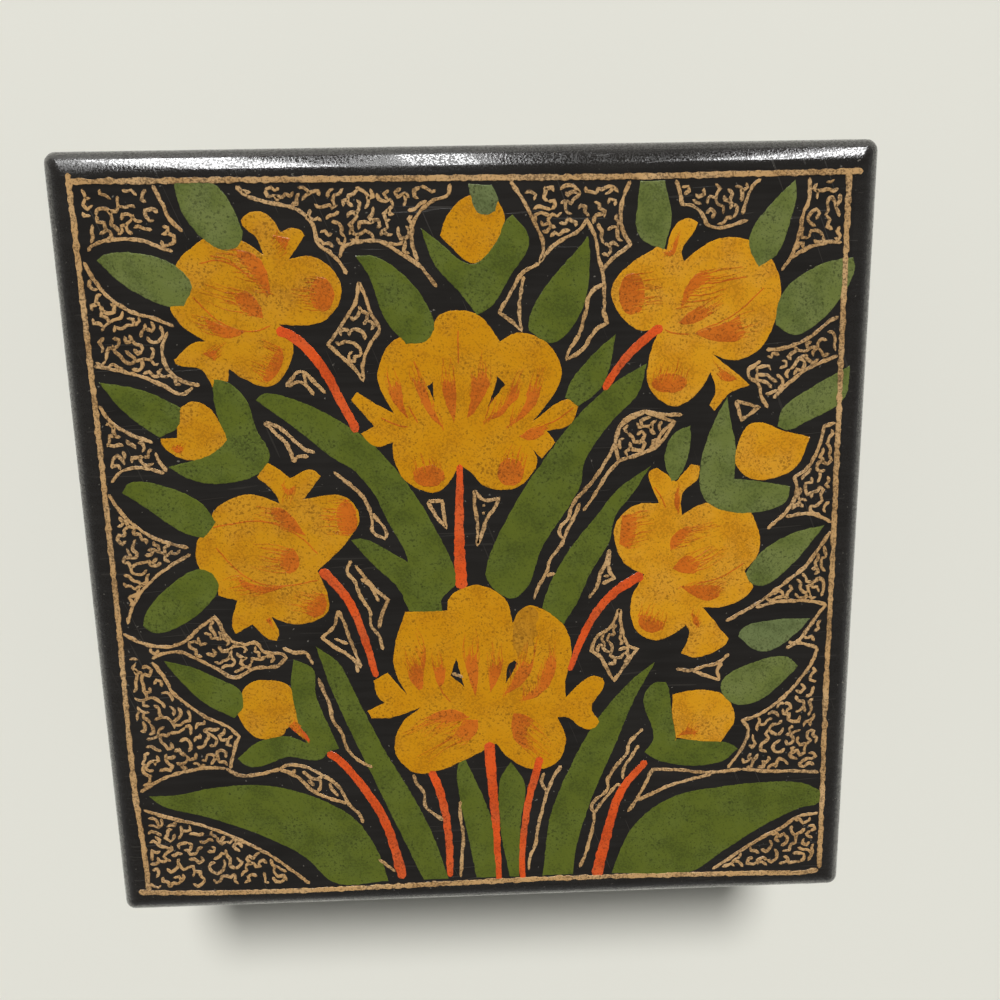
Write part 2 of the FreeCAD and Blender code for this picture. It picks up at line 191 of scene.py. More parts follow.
BLOSSOMS = """
blossom_upper_left:
-44.8,47.3 -42.3,49.4 -40.1,50.7 -37,50.5 -34.6,50.1 -31.6,48 -32.6,50.7 -34.4,52.3 -34.6,53.2 -33.5,54.2
-31.6,54.4 -30.1,53.5 -28.7,51.3 -27.3,51.9 -25.7,51.6 -25.1,50.7 -27.7,47.3 -24.1,47.6 -20.7,45.1
-19.9,42.9 -20.4,40.4 -22.3,38.2 -24.8,37.3 -29.9,37.4 -28.5,36.3 -27.9,34.4 -28.2,32.3 -31,28.2 -32.9,27.8
-36,29.1 -38.3,30.7 -38.5,28.8 -41,27.9 -42.6,30.7 -46.3,31.6 -46.7,32.3 -43.5,34.8 -41.6,35.1 -45.1,37.6
-46.6,40.4
blossom_upper_right:
44,48.8 41.5,49.3 39,49.1 36.5,47.9 33.8,45.8 33.4,47.3 35.3,50.4 35.9,51.6 34.6,52.3 33.1,51.9 32.1,51
31,47.6 29.8,48.2 28.8,47.6 25.9,46 22.8,42.9 22.4,41 23.1,38.8 26.8,35.4 30,35.5 28.5,31 28.4,26.6
31.5,23.5 33.1,23.2 36.8,25.7 38.4,28.5 39.3,25.7 38.4,23.2 39.2,22.3 41.5,25 44.8,26.3 43.1,27.9 38.7,31.3
41.5,30.4 44,30.7 46.5,32.3 48.7,36.9 49.3,41.6 47.8,45.7
blossom_middle_left:
-33.5,15.8 -35.1,13.3 -32.3,10.5 -31.8,8.9 -36,10.5 -38.5,10.2 -42.6,7.7 -42.9,5.5 -45.5,3 -45.5,-1.7
-42.9,-3.9 -42.9,-6.4 -39.8,-7.3 -41,-11.7 -40.5,-13.1 -37.6,-11.5 -35.1,-14.2 -33.8,-14.5 -33.3,-13.4
-34.4,-10.3 -31.6,-11.5 -29.1,-11.7 -25.1,-9.8 -24.8,-7 -26.3,-2.6 -21,2.4 -18.9,6.1 -19.6,8.3 -21.3,9.8
-27.7,9.6 -24.8,13.2 -26.3,14.3 -29.8,13 -31.3,14.3
blossom_middle_right:
29.9,13.2 28.7,12.5 28.7,11.4 30.4,7.3 26.5,7.1 23.2,3.9 23.5,-0.4 24.9,-2.9 28.1,-4.8 25.9,-9.2 26.8,-14.5
29.9,-16.4 32.4,-15.8 35.3,-13.9 35.9,-15.1 34.6,-18.9 36.7,-19.7 42,-17.6 42.6,-16.5 38.1,-10.8 41.5,-10.8
45.9,-8.6 46.5,-7.3 44.9,-4.8 47.4,-1.1 46.3,4.3 45.6,5.5 38.1,7.1 34.2,5.2 34.3,8.9 36.8,11.4 37,13.3
35.6,13.7 33.1,10.8 31.2,12.4
blossom_centre_upper:
-5.7,36 -5.5,37.6 -2.7,39 1.4,38.2 4.7,34.1 7.6,35.4 12,33.8 14.3,30.1 14.3,27.9 11.4,23.2 9.7,21.3
15.8,24.8 17.3,24.1 15.8,20.7 12,19.7 13.4,17.8 11.1,15.2 9.7,16.7 10.4,14.9 8.3,11.4 5.8,10.2 1.4,11.1
-0.2,13 -2.2,14.6 -4.3,11.4 -5.8,10.2 -7.7,10.2 -11.4,12.4 -13,17.1 -12.8,18.5 -15.8,17.8 -18,19.9
-15.8,21.1 -19.3,25.4 -18.3,26.6 -14.9,24.4 -12.6,23.1 -14.8,27.9 -14.8,29.8 -12.4,34.4 -9,35.5
blossom_centre_lower:
-5,-10.1 -4.6,-7.9 -1.1,-5.9 1.7,-6.2 4.8,-8.6 5.9,-12.6 8.3,-9.7 9.8,-9.8 14.5,-13.3 15.8,-17.9 14.7,-23.7
14.8,-26.2 17.6,-23.4 19.5,-22.5 21.1,-22.9 21.4,-24 19.2,-28.4 20.6,-30.9 19.8,-32 17.9,-32.1 15.1,-29.9
13.4,-29.8 14.7,-34.6 12.9,-38.4 8.9,-39.3 4.8,-37.1 2.6,-34.3 -1.4,-36.5 -7.4,-39 -10.5,-39.5 -12.4,-38.8
-14.9,-34.9 -13.3,-29.9 -10.2,-27.3 -15.2,-28.9 -18.6,-28.9 -19.3,-27.6 -16.3,-26.2 -17.4,-24.9 -18,-22.1
-15.5,-20.8 -12.4,-24.9 -14.4,-19.9 -13.9,-15.4 -12.1,-10.1
"""
# A worn brown patch on one petal of the lower centre blossom
SMUDGES = """
petal_smudge:
6,-12.8 6.5,-11.2 7.5,-10.1 8.9,-9.8 10,-10.4 10.4,-12 9.9,-13 10.2,-14.8 9.5,-15.6 9.7,-17 8.6,-16.9
8.2,-18.6 7.4,-17.6 6.6,-18.9 6.2,-17.3 5.8,-17.8 5.7,-15
"""
BUDS = """
bud_left:
-46.5,24.5 -44.1,25.7 -41.9,24.7 -40.5,22.6 -39.5,19.4 -40.7,18 -45.4,16.3 -49.8,18.9 -49.9,19.9 -47.3,20
bud_top:
0.1,56.1 -3,53.5 -4.3,50.4 -2.7,48.7 0.1,46.3 1.4,46.2 4.5,49.4 5.8,52.9 4.5,56
bud_right:
44.9,19.9 43.1,16.4 42.8,13.9 45.3,11.1 50.6,11.4 53.1,13 55.1,17.7 50.3,18.9 47.1,20.2
bud_lower_left:
-40.2,-23.3 -38.4,-21.7 -36.2,-21.4 -32.1,-22.8 -31.6,-25 -31.1,-29.2 -33,-30.2 -33.9,-31.5 -37.9,-32
-39.8,-30.5 -41.7,-26.7 -40.3,-26.3
bud_lower_right:
33.2,-26.3 37.8,-25.6 42.1,-26.8 44.1,-30.9 41.8,-35.4 39.6,-35.4 34,-34.3 33.2,-29.6
"""
# Each stem is its route, then after ">" its width at both ends
STEMS = """
stems_side:
-30.4,36.6 -27.8,35.4 -24.3,31.8 -21,25.4 -18.5,20.2 > 1.7,1.3 /
30.4,36 25.9,32.3 23.7,29.8 21.2,26 > 1.5,1.1 /
-25.7,-2.3 -21.6,-7.6 -19.1,-14.5 -17.4,-21.5 > 1.6,1.1 /
27.8,-4.7 22.4,-8.3 18.6,-13.6 15.4,-21.4 > 1.7,1
stems_centre:
-2.2,14.6 -2.7,0 -2.5,-6.4 > 1,2.1 /
1.4,-34 1.6,-38 2,-45 2.3,-49.6 2.6,-61 > 1.9,1 /
-8.8,-39 -7.4,-42.8 -6.1,-51.8 -6.1,-59.6 > 1.5,1.2 /
10.3,-37 7.9,-46.5 6.8,-56.5 6.8,-60.6 > 1.4,1
stems_lower:
-32.2,-29.7 -30.9,-30.9 -29.3,-32.8 > 1.6,0.5 /
-26.5,-35 -25,-36 -22.3,-39.2 -17.4,-47.8 -14.4,-59.6 > 1.3,1.7 /
28.8,-38.5 24.6,-43.7 21.5,-54 20,-60.6 > 1.2,2
"""
# Gold cells filled with short curls: "|" stands between the strokes round a cell, and "+" before
# the frame's corner where the cell holds one
FILLED_CELLS = """
gold_cells_upper_left:
-47.6,58.5 -46.6,56.3 -45.4,53.5 -43.7,51.6 | -45.4,48.7 -47.3,49.4 -49.8,50.4 -52.6,50.7 -57.6,49.8
-58.3,49 + -59.3,58.5 /
-59.1,47.4 -57.9,44.8 -55.7,41.9 -52.6,39.8 -49.4,38.8 -46.2,37.4 | -47.3,36.6 -48.4,33.9 -47.9,31 -46,29.1
-43,28.2 | -44.1,28 -45.7,26.9 -49.1,28.5 -51.9,29.8 -55.1,30.7 -59.3,31.6 /
-17.2,43.7 -17.8,40.7 -19.6,37.9 -22.4,34.1 -20.5,32.3 -18.3,30.1 -17.2,28.5 -17.1,31 -15.8,34.1 -14.3,36.5
-15.5,38.8 -16.3,41.6 -17.2,43.7
gold_cells_left:
-59.1,25.4 -57.9,23.2 -55.7,21.3 -51.3,19.3 | -51,17.7 -50.4,16.1 -49.4,14.6 | -49.8,14.3 -51.9,15
-54.4,15.3 -56.9,14.6 -58.5,13 /
-59.1,11.1 -57.6,8.3 -55.1,5.5 -52.3,3.6 -47.1,1.8 | -46.8,0.8 -49.8,-0.8 -52.9,-3 -55.4,-5.4 -57.3,-8.3
-58.2,-10.9
gold_cells_lower_left:
-59.1,-12.5 -56.9,-13.9 -54.4,-14.8 -51.6,-15 -49.1,-14.2 -46.6,-12 -43.8,-10.1 -43.2,-10.8 -42.6,-12.6
-41,-14.5 -39.1,-15 -37.3,-14.8 -36,-16.4 -32.9,-17 -32.4,-17.6 -33.8,-18.9 -37.9,-19.3 -41.3,-20.8
-44.1,-19.2 -47.3,-17.3 -49.8,-16.1 -52.3,-16.1 -54.8,-17 /
-54.8,-17.6 -52.9,-20.8 -51.9,-23.1 -49.4,-25.6 -46.6,-27.8 -43.2,-29.6 -41.3,-31.5 -42.1,-33.1 -42.9,-35.9
-43.3,-37.4 | -44.1,-37.3 -47.3,-37.1 -51.6,-37.8 -54.8,-38.8 -56.9,-39.9 -59,-41.2 + -59,-16 /
-58.8,-44.6 -55.7,-45.9 -48.5,-48.1 -44.8,-49.8 -37.3,-54.3 -34.1,-57.1 -31,-59.9 + -59.3,-60
gold_cells_top:
-35,58.2 -33.8,56.9 -31.6,56 -25.7,54.4 -23.8,52.3 -23,49.4 -21.1,47.9 -19.9,46.6 -18.9,44.8 | -19.9,47.3
-19.3,48.8 -17.1,49.6 -13.3,49.6 -11.1,48.2 -7.4,45.7 -5,42.6 | -7.8,46.6 -8.6,49.1 -8.5,51.6 -7.4,53.8
-4.9,55.7 -3,56.3 -2.5,58 /
6.7,58.2 8.3,56 9.8,53.2 11.8,48.5 11.1,46 12.9,48.2 15.4,49.8 17.3,50.7 18.6,52.3 19.8,49.8 20.4,46.6
21.1,44.1 21.2,37.3 | 20.9,44.4 22.1,46 24.6,47.9 25.4,48.5 24.2,50.4 23.8,53.5 24.5,56.3 25.3,58
gold_cells_upper_right:
32.4,58 33.4,54.4 35.3,54 36.5,52.9 37.4,51.3 38.7,50.8 43.7,51.8 | 42.8,52.6 43.4,54.8 44.3,56.9 45.6,57.9
/
53.1,58 53.2,55.1 52.4,52.6 51.8,49.4 50.9,46.6 49.3,44.1 | 50.3,45.7 52.1,46.9 54.3,47.8 56.5,48.3
58.7,48.2 + 58.7,58 /
58.8,36.9 57.1,36 54.9,34.1 52.8,32.9 50.2,32.1 47.3,31.8 | 46.5,30.1 44.5,28.8 44.6,27.7 46.2,26.6
46.8,24.4 47.9,22.6 | 48.7,24.1 50.2,25.7 52.1,27.2 54,28.7 56.5,29.8 59,30.7
gold_cells_right:
59.2,19.9 57.3,19.4 57,17.7 56.2,14.9 54.9,12.7 52.8,11 53.2,9.6 52.9,7.4 51.5,5.2 48.5,2.5 | 51.5,4.4
54.9,4.9 57.1,4.4 59.2,3.3 /
59.3,1.8 57.4,-1.1 55.2,-4.2 51.8,-7 47.8,-10.1 44,-12.3 42,-13.4 | 47.1,-11.1 50.2,-10.3 53.4,-10.1
56.5,-10.3 59.2,-10.9 /
59.2,-10.9 58.1,-12.3 56.2,-15.1 54.6,-17.3 52.6,-18.6 | 52.9,-17.6 54.6,-17.6 58.1,-18.6 /
23.9,-10.6 24.2,-12.9 24.6,-15.1 25.6,-17.3 27.1,-17.9 26.2,-18.9 24.9,-20.8 23.1,-23.4 22.2,-22 20.6,-18.9
19.1,-18 20.2,-15.4 22.4,-13.9 23.4,-12 23.9,-10.6
gold_cells_lower_right:
58.1,-18.6 57.1,-21.4 55.6,-23.7 53.4,-26.5 50.6,-29 48.1,-30.6 45.4,-31.5 46.5,-33.1 46.2,-35.2 44.9,-37.8
43.2,-40.2 | 45.6,-40.6 50.2,-41.2 54.9,-41.3 59.3,-41.7 /
59.6,-49.5 55.9,-50.2 53.4,-52.1 50.2,-53.7 47.1,-55.6 44,-57.8 40.9,-59.9 + 59.6,-60
gold_cells_right_blades:
27.8,22.4 23.8,20 23.1,17.5 23.7,14.4 27.8,15.8 29.8,16.6 32.8,20.7 27.8,22.4
"""
# Gold lines with nothing drawn inside them, and the dash across a petal gap
OPEN_CELLS = """
gold_lines_left:
-22.7,13.9 -19.9,11.4 -18,9.4 -17.1,7.1 -16.8,5.5 -16.9,3.9 -14.9,2.4 -14.6,3.6 -15.5,5.2 -16.8,6.9 /
-20.6,-1 -21.4,-2.9 -20.3,-4.5 -19.4,-7.3 -18,-9.8 -17.8,-12.6 -16.8,-13.9 -16.1,-16.7 / -16.6,-12.9
-16.1,-10.8 -14.9,-7.9 -16.8,-6.1 -18.6,-3.9 -20,-1.8 / -19.2,-4.2 -17.7,-5.4 -16.4,-8.2 / -23.3,-9.5
-24.1,-12.3 -26.2,-14.2 -24.4,-15.8 -22.2,-17.3 -20.7,-18.9 -20.5,-20.6 / -20,-19.8 -20.7,-17.3 -21.6,-14.5
-22.4,-11.7 -23.3,-9.5 / -24.1,-14.5 -21.9,-15.4 / -29.4,27.7 -28.5,28.9 -27.4,30 -26.5,29.9 -25,28.4
-23.2,26.5 / -29.2,27.8 -27.2,28.4 -25.9,27.4 -25.2,26.3 / -26.5,29.8 -26.2,27.8 / -33.3,22.1 -31.2,19.9
-29.8,18.3 -29,15.5 / -33.3,22.1 -31.4,21.5 -28.5,18.9 -26.9,17.5 -25.5,17.1 / -29,15.5 -28.4,16.4
-26.6,16.5 / -7.7,8.6 -5.3,8.6 -5,5.5 -4.7,4.1 -6,5.5 -7.7,8.6
gold_lines_lower_left:
-32.9,-15.8 -31,-16.7 -29.1,-16.8 -28,-18.9 / -34.9,-37.8 -33.5,-37.1 -30.7,-37.4 -27.9,-39 -25.1,-41.2
-23.2,-44.9 -21.6,-46.8 -21,-48.5 / -23.5,-44.6 -26.3,-43.7 -29.4,-42.1 -31.6,-39.6 -34.1,-38.1 -34.9,-37.9
/ -34.8,-37.8 -39.1,-38.7 -41.6,-38.7 -44.1,-37.3 / -32.8,-38.8 -32.1,-37.9 / -31,-38.3 -30.3,-38.9
-29.5,-39.7 -28.6,-39.9 -27.6,-39.4 / -30.1,-40 -29.1,-41.1 / -28.1,-39.9 -28,-41.2 -28.5,-42.2 /
-26.4,-40.6 -26.2,-41.6 -25.6,-42.4 -25.1,-43.2 / -18.6,-55.6 -15.8,-58.1 / -27.2,-21.3 -26.5,-23.7
-25.7,-25.9 -25.1,-29.3 -23.8,-31.5 -23.2,-34 -21.9,-36 -18.9,-38.1 / -11.9,-39.5 -11.4,-41.2 -10.2,-43.1
-9.9,-45.9 -8.6,-47.1 -6.9,-48.5 / -3.9,-44.9 -3.9,-48.7 -3.5,-51.5 -3.8,-54.9 -4.2,-59.6
gold_lines_right:
11.1,46 8.3,44.4 7,42.3 4.7,38.5 6.4,37.3 8.1,35.8 7.8,38.5 8.3,42.3 8.6,44.1 / 21.1,42.6 19.2,41.3
18.2,37.9 17,34.4 15.4,31.9 15.3,31 17.9,32.6 19.8,35.4 21.8,36.6 21.1,38.8 / 42.6,23.8 46.5,22.7 43.7,20.7
42.6,23.8 / 34,21.8 30.9,21.9 27.8,22.4 25.2,21.6 23.8,20 23.1,17.5 21.8,14.9 20.2,12.4 18.2,9.9 16.7,8.3
15.8,6.8 15.4,5.2 14,3.6 13.9,2.7 14.5,1.4 13.6,-0.1 12.3,-1.7 11.8,-3.6 10.3,-6.4 9.5,-8.6 / 32.8,20.7
30.7,18.9 30.1,17.7 29.8,16.6 / 29.8,16.6 27.8,15.8 25.2,15 23.7,14.4 22.1,12.7 20.1,9.6 18.9,7.7 17.8,6.4 /
17.3,7.7 16.4,5.5 15.6,3.9 14.5,1.4 / 11.5,-4.5 13.1,-4.2 / 22.2,-0.3 21.6,-2.6 20.7,-4.5 20.1,-6.7
18.8,-8.6 / 22.2,-0.3 22.3,-4.2 23.1,-5.3 20.9,-6.1 / 21.2,-4.9 22.2,-4.9 / 0,10.3 1.5,8.6 4,8.8 3.6,7.8
2,5.5 1.1,3 0.3,1 0.4,4.3 0,8 0,10.3 / 1.3,7.9 1.7,7.6 / 1.2,6.6 1.6,6.2
gold_lines_lower_right:
45.6,-40.6 42.8,-40.9 39,-41 34.6,-40.4 29.9,-40.1 28.4,-43.4 27.1,-45.9 25.6,-48 / 27.4,-45.9 29.6,-44.8
32.4,-43.5 36.5,-42.3 40.2,-41.5 / 33.7,-21.7 36.2,-22 38.7,-21.3 41,-20.8 42.8,-19.2 / 41.6,-20.8
40.9,-22.1 41.3,-24 / 41.3,-24 39,-23.1 36.5,-22.1 / 28.1,-32.5 25.7,-35.2 25.4,-36.8 23.7,-39 22,-42
22,-43.7 19.9,-45.6 19.2,-47.1 19.6,-48.1 19.4,-50.9 18.6,-54 17.9,-56.5 17,-58.5 / 27.4,-35.4 26.3,-37.4
24.9,-39.6 24.6,-41.7 / 24.3,-42.9 23.6,-42.7 22.4,-44.3 20.9,-46.2 19.7,-48.1 / 10.9,-40.1 10.4,-41.8
11.4,-43.7 / 13.9,-38.8 12.6,-40.9 11.4,-43.7 10.9,-45.6 10.1,-48.7 9.5,-51.8 9.2,-53.7 8.2,-56.2 7.9,-58.7
gold_dash:
-4.6,-21.2 -2.7,-22
"""
GOLD_FRAME = """
gold_frame:
-60.1,60.5 -59.7,20 -59.7,-10 -60,-40 -59.4,-55 -59.4,-60.3 /
-60.3,59.2 0,58.8 20,58.6 61.5,58.8 /
59.3,58.9 59.6,20 59.8,0 59.9,-30 60.3,-55 60.3,-60.4 /
-61.2,-60.3 -59.5,-60.5 20,-60.6 50,-61 57,-61.2 60.2,-60.7
"""
# Shading of the petals: patches, round spots by centre and half sizes, and lines between petals. After
# ">" comes the way that the fine strokes of a patch or spot run
SHADED_PATCHES = """
shading_upper_left:
-35.8,48.8 -34.4,48.7 -32.3,47.6 -31.2,45.4 -30.9,43.2 -31.1,41.7 -32.1,43 -33.4,44.7 -34.5,46.1 -35.4,47.3
> -2.6,0.5 /
-36.6,42 -34.9,42.8 -33.5,41.8 -32.5,40.1 -32.2,38.4 -33.7,38.6 -35.2,39.4 -36.2,40.6 > -4.5,1.4 /
-41.6,38.9 -39.4,37.8 -36.9,36.9 -35.2,36.3 -36.4,35.7 -37.9,35.4 -39.3,35.7 -40.8,36.9 > -2,0.5 /
-30.1,34.2 -29.5,32.9 -29.8,31.2 -30.9,29.5 -32.2,28.5 -33.1,28.8 -32.6,30.2 -31.5,32.2 > -2,1 /
-42.3,33.2 -39.8,33.8 -40.2,31.9 > 1.5,1 /
-30.1,51 -27.3,50.4 -28.2,48.5 > -1,-1
shading_upper_right:
33.3,38.3 33.6,40 34,41.6 35.3,43.5 37.4,44.5 38.2,43.3 36.4,41.8 34.9,40.4 33.9,39 > 4.5,0.7 /
33,36.4 34.9,38.2 37.1,38.8 38.6,38 37.2,36.9 35.4,36.2 33.6,36.1 > 4.5,2.8 /
35.6,34.6 38.2,35.6 40.9,36.4 42.9,37.4 43.3,35.9 44,34.5 42.8,33.4 40.3,33.2 37.8,33.7 > 2,0.6 /
30.4,47.2 31.4,46.6 32.1,46.8 32.9,49.2 33.2,50 32.2,49 31.8,47.6 > 0.3,0.8 /
39.7,29.4 41.5,28.2 42.8,27.3 41.2,26.9 39.9,27.4 > -1,1
shading_middle_left:
-33.5,8 -31.6,8.2 -27.6,3.3 -29.4,3.9 -32.3,5.8 > -3,0.6 /
-32,0.9 -30.1,1.5 -29.1,-0.3 -29.7,-2.5 -31.2,-2.9 -32.4,-1.6 > -4.8,0.9 /
-39.6,-3.2 -37.6,-4.3 -34.9,-5 -31.4,-5.1 -33.4,-5.8 -36.2,-6.2 -38.6,-5.2 > -2,-0.5 /
-28.2,-8.3 -25.7,-6.4 -25.1,-7.6 -25.5,-9.8 -27.2,-10.8 -28.6,-10 > -2.6,0.9 /
-31.3,12.1 -30.2,11.2 -29,11.8 -29.3,10.2 -30.6,10.2 > -0.5,-1.5 /
-35.4,-10.8 -34.6,-10.2 -34.2,-12.4 > 0.4,-1
shading_middle_right:
24.2,5.5 26.8,5.8 26.7,3.4 26.5,1.4 25.7,-0.4 23.8,0.5 24,3 > 2.5,0.5 /
32.4,-0.9 32.4,1.1 33.7,2.7 35.6,3.3 36.4,2.8 35.2,1.6 34.3,0.4 33.2,-0.4 > 4.5,0.9 /
32.8,-3.9 34,-2.3 35.6,-1.7 37.4,-2.9 36.8,-4.8 34.6,-4.8 > 3.8,2 /
34,-7 37.2,-6.8 40.9,-7 40.9,-8.6 39,-9.7 36.2,-8.6 > 1,0.6 /
27.1,-11.7 29,-12 31.5,-13.3 31.5,-14.4 29.6,-15.1 27.4,-13.9 > 0.5,1.8 /
33.2,9.8 33.7,9.6 33.9,7 33.8,5.6 33,6.6 > 0.2,0.8 /
36.2,-11.6 37.3,-12.6 37.6,-14.4 36.5,-13.6 > 0.4,1
shading_centre_upper:
-13.4,27 -12.9,28 -12.4,27.3 -11.8,28.4 -11.3,27.6 -10.8,24.4 -10.3,22.1 -12,24 > -0.8,2.8 /
-9.6,28.9 -8.6,28.2 -7.7,28.4 -6.9,25.8 -5.8,23 -4.6,20.4 -6.6,22.2 -8.4,25.6 > -0.6,2.6 /
-4.7,27.6 -4.1,28.6 -3.4,27.9 -2.6,28.8 -2.4,25 -2.9,21.2 -4.2,24.4 > -0.1,3.4 /
0,29.2 0.8,28.5 1.5,29.6 2.4,29.1 2.9,27.4 1.6,24.8 0.3,22.8 -0.9,22 -0.2,25.6 > 0.3,3 /
6.2,26.2 6.9,27.2 7.5,26.7 7.4,25 6.2,24 4.5,22.2 1.5,21.4 3.6,22.8 5.3,24.4 > 1,2.8 /
9,26.4 9.6,27.2 10.3,26.6 11.2,27 10.6,24.6 9.2,22.8 7.9,21.6 5.3,20.3 7.6,22.8 8.6,24.6 > 0.8,2.8 /
7.4,18.9 9.4,20.1 12.3,20.6 11,18.8 9,18.2 > 1,0.6
shading_centre_lower:
-11.9,-20.4 -11,-19.2 -9.9,-19.6 -9.4,-17.4 -9.2,-15.9 -8.8,-18 -9.2,-20 -9.6,-23.9 -10.4,-24.1 -11.9,-21.9
> -0.9,2.8 /
-7.8,-19.6 -7,-20.1 -6.4,-19.4 -5.8,-20.2 -6.1,-23.1 -6.8,-23.8 -7.4,-22.6 > -0.3,2 /
-2.2,-18.6 -1.6,-17.8 -0.9,-18.4 -0.4,-17.6 -0.1,-19.6 -0.1,-22.2 -0.7,-25.7 -1.8,-22.2 > 0,3.2 /
1.8,-20.4 2.5,-19.4 3.1,-20 4.1,-18.6 3.9,-20.9 2.7,-23.6 1.8,-24.9 > -0.2,3.4 /
6.9,-20.3 7.8,-19.2 8.6,-20 9.5,-18.6 9,-21.2 6.5,-24.3 3.9,-25.5 5.6,-22.9 > 0.6,3 /
6.7,-26.6 9.1,-26.3 11.2,-24.9 12.9,-22 13.1,-19.3 12.4,-18.4 11.8,-18.9 10.8,-21.1 10,-23.7 8.4,-25.2 >
0.2,2.6 /
-9.2,-29.2 -6.9,-27.9 -4.3,-27.8 -1.8,-29.3 -3.6,-29.9 -6.6,-30.2 -8.2,-29.8 > -4,-2.3 /
-2.9,-29.9 -0.3,-29.8 -0.5,-31.8 -2.1,-33.7 -3.4,-33.2 -4.8,-32.6 -3.7,-31 > -5.2,-2.9 /
5.7,-28.8 7.4,-29 9.2,-30.5 8.1,-31.9 8.4,-35.8 6.1,-34.2 5.3,-31.5 > 3.4,-3
shading_buds:
-32.9,-29.9 -31.6,-28.7 -29.3,-33.2 > -0.8,1 /
34,-34 36,-32.4 37.4,-33.1 37.8,-33.8 > 0.6,1
"""
SHADED_SPOTS = """
shading_upper_left:
-23,41.9 1.9,2.6 > -2.5,0.3
shading_upper_right:
25.7,41 2.1,3.2 > 2.5,0.2 / 31.8,26.9 2.8,1.6 > 0.5,2
shading_middle_left:
-21,6.1 1.7,2.9 > -2.5,0
shading_centre_upper:
-7.4,12.8 2.6,1.8 > -0.5,2.2 / 6,13.1 2.1,2.3 > 0.6,2
shading_buds:
-47.3,18.2 0.9,0.6 > 0.6,0.9
"""
SHADING_LINES = """
shading_upper_left:
-43,41.9 -39.4,38.2 -36,36.6 -33.4,36.5 -31.2,37.3 / -41.6,46.9 -38.5,47.3 -33.2,44.1 -31.3,41.6 / -39.8,48
-37.2,47.4 -35.2,45.8
shading_upper_right:
37.8,42.3 44,43.3 / 46.7,41.6 42.1,37.6 35.9,34.8 / 30.9,35.4 32.1,34.8 34.9,34.6
shading_middle_left:
-42.9,5.2 -34.8,6 -31.6,4.9 -28.5,3 -26,0.2 / -42.7,1.8 -38.5,-3 -34.8,-4.8 -31,-5 -26.3,-4.2
shading_middle_right:
29.5,10 30.7,8.4 31.5,6.5 / 44.9,-3.3 40.6,-5.8 37,-6.6
shading_centre_upper:
-1.9,36 -2,30.7 / -9,31.4 -8.2,28.4 / -14.7,22.4 -12.7,21.4 -10.4,20.8 / -10.2,24.2 -8.7,21.4 / 9.5,19.9
13.5,21.4 16.4,23.4
shading_centre_lower:
-6.8,-23.4 -6.2,-24.8 -5,-26.4
"""
# The dark gaps between the petals of the two centre blossoms
GAPS = """
petal_gaps:
-6.1,28 -7.2,27.3 -6,24.8 / 4.2,28.7 5.4,27.3 2.6,23.8 / -3.8,-18.4 -4.9,-21.7 -2.5,-23.8 / 6.1,-19.2
5.1,-19.8 4.5,-23.4 6.7,-19.9
"""


def drawn(drawing):
    """Reads a drawing text: each name with the texts of its outlines."""
    parts = re.split(r"(\w+):", drawing)[1:]
    return {name: outlines.split("/") for name, outlines in zip(parts[::2], parts[1::2])}


def pairs(text):
    """The numbers of "x,y x,y" as pairs."""
    return [tuple(float(number) for number in pair.split(",")) for pair in text.split()]


def noted(text):
    """An outline's text, and the pair of numbers noted after it."""
    points, note = text.split(">")
    return points, pairs(note)[0]


def millimetres(points):
    """Turns "x,y x,y" in pattern millimetres into vectors in metres on the lid."""
    return [
        Vector(((x * X_SCALE + X_SHIFT) * MM, (y * Y_SCALE + Y_SHIFT) * MM))
        for x, y in pairs(points)
    ]


def directions(points, closed):
    """The way a brush leaves and reaches each point: one way where it bends, two at a corner."""
    leaving = []
    reaching = []
    count = len(points)
    for i, point in enumerate(points):
        after = points[(i + 1) % count] - point
        before = point - points[i - 1]
        if not closed and i == 0:
            before = after
        if not closed and i == count - 1:
            after = before
        if before.angle(after, 0) > SHARP_TURN:
            leaving.append(after.normalized())
            reaching.append(before.normalized())
        else:
            both = (before.normalized() + after.normalized()).normalized()
            leaving.append(both)
            reaching.append(both)
    return leaving, reaching


def brushed(points, closed=True):
    """A smooth line through the points, with its corners kept and the slight shake of a hand."""
    leaving, reaching = directions(points, closed)
    line = []
    spans = len(points) if closed else len(points) - 1
    for i in range(spans):
        j = (i + 1) % len(points)
        start, end = points[i], points[j]
        length = (end - start).length
        steps = max(1, round(length / (CURVE_STEP * MM)))
        for k in range(steps):
            line.append(hermite(start, leaving[i] * length, end, reaching[j] * length, k / steps))
    if not closed:
        line.append(points[-1].copy())
    return [shaken(point, WOBBLE * MM) for point in line]


def hermite(start, start_pull, end, end_pull, share):
    """The point at this share of a cubic span with these pulls at its ends."""
    square = share * share
    cube = square * share
    return (
        start * (2 * cube - 3 * square + 1)
        + start_pull * (cube - 2 * square + share)
        + end * (3 * square - 2 * cube)
        + end_pull * (cube - square)
    )


def shaken(point, reach):
    """The point moved by a slow shake of the hand and by the ragged edge that the brush leaves."""
    where = point.to_3d() / MM
    slow = noise.noise_vector(where * WOBBLE_SCALE).to_2d() * reach
    quick = noise.noise_vector(where * RAGGED_SCALE).to_2d() * reach * RAGGED / WOBBLE
    return point + slow + quick


def patch(points):
    """The closed outline that a brush draws through the points of a text."""
    return brushed(millimetres(points))


def route(points):
    """The open line that a brush draws through the points of a text."""
    return brushed(millimetres(points), closed=False)


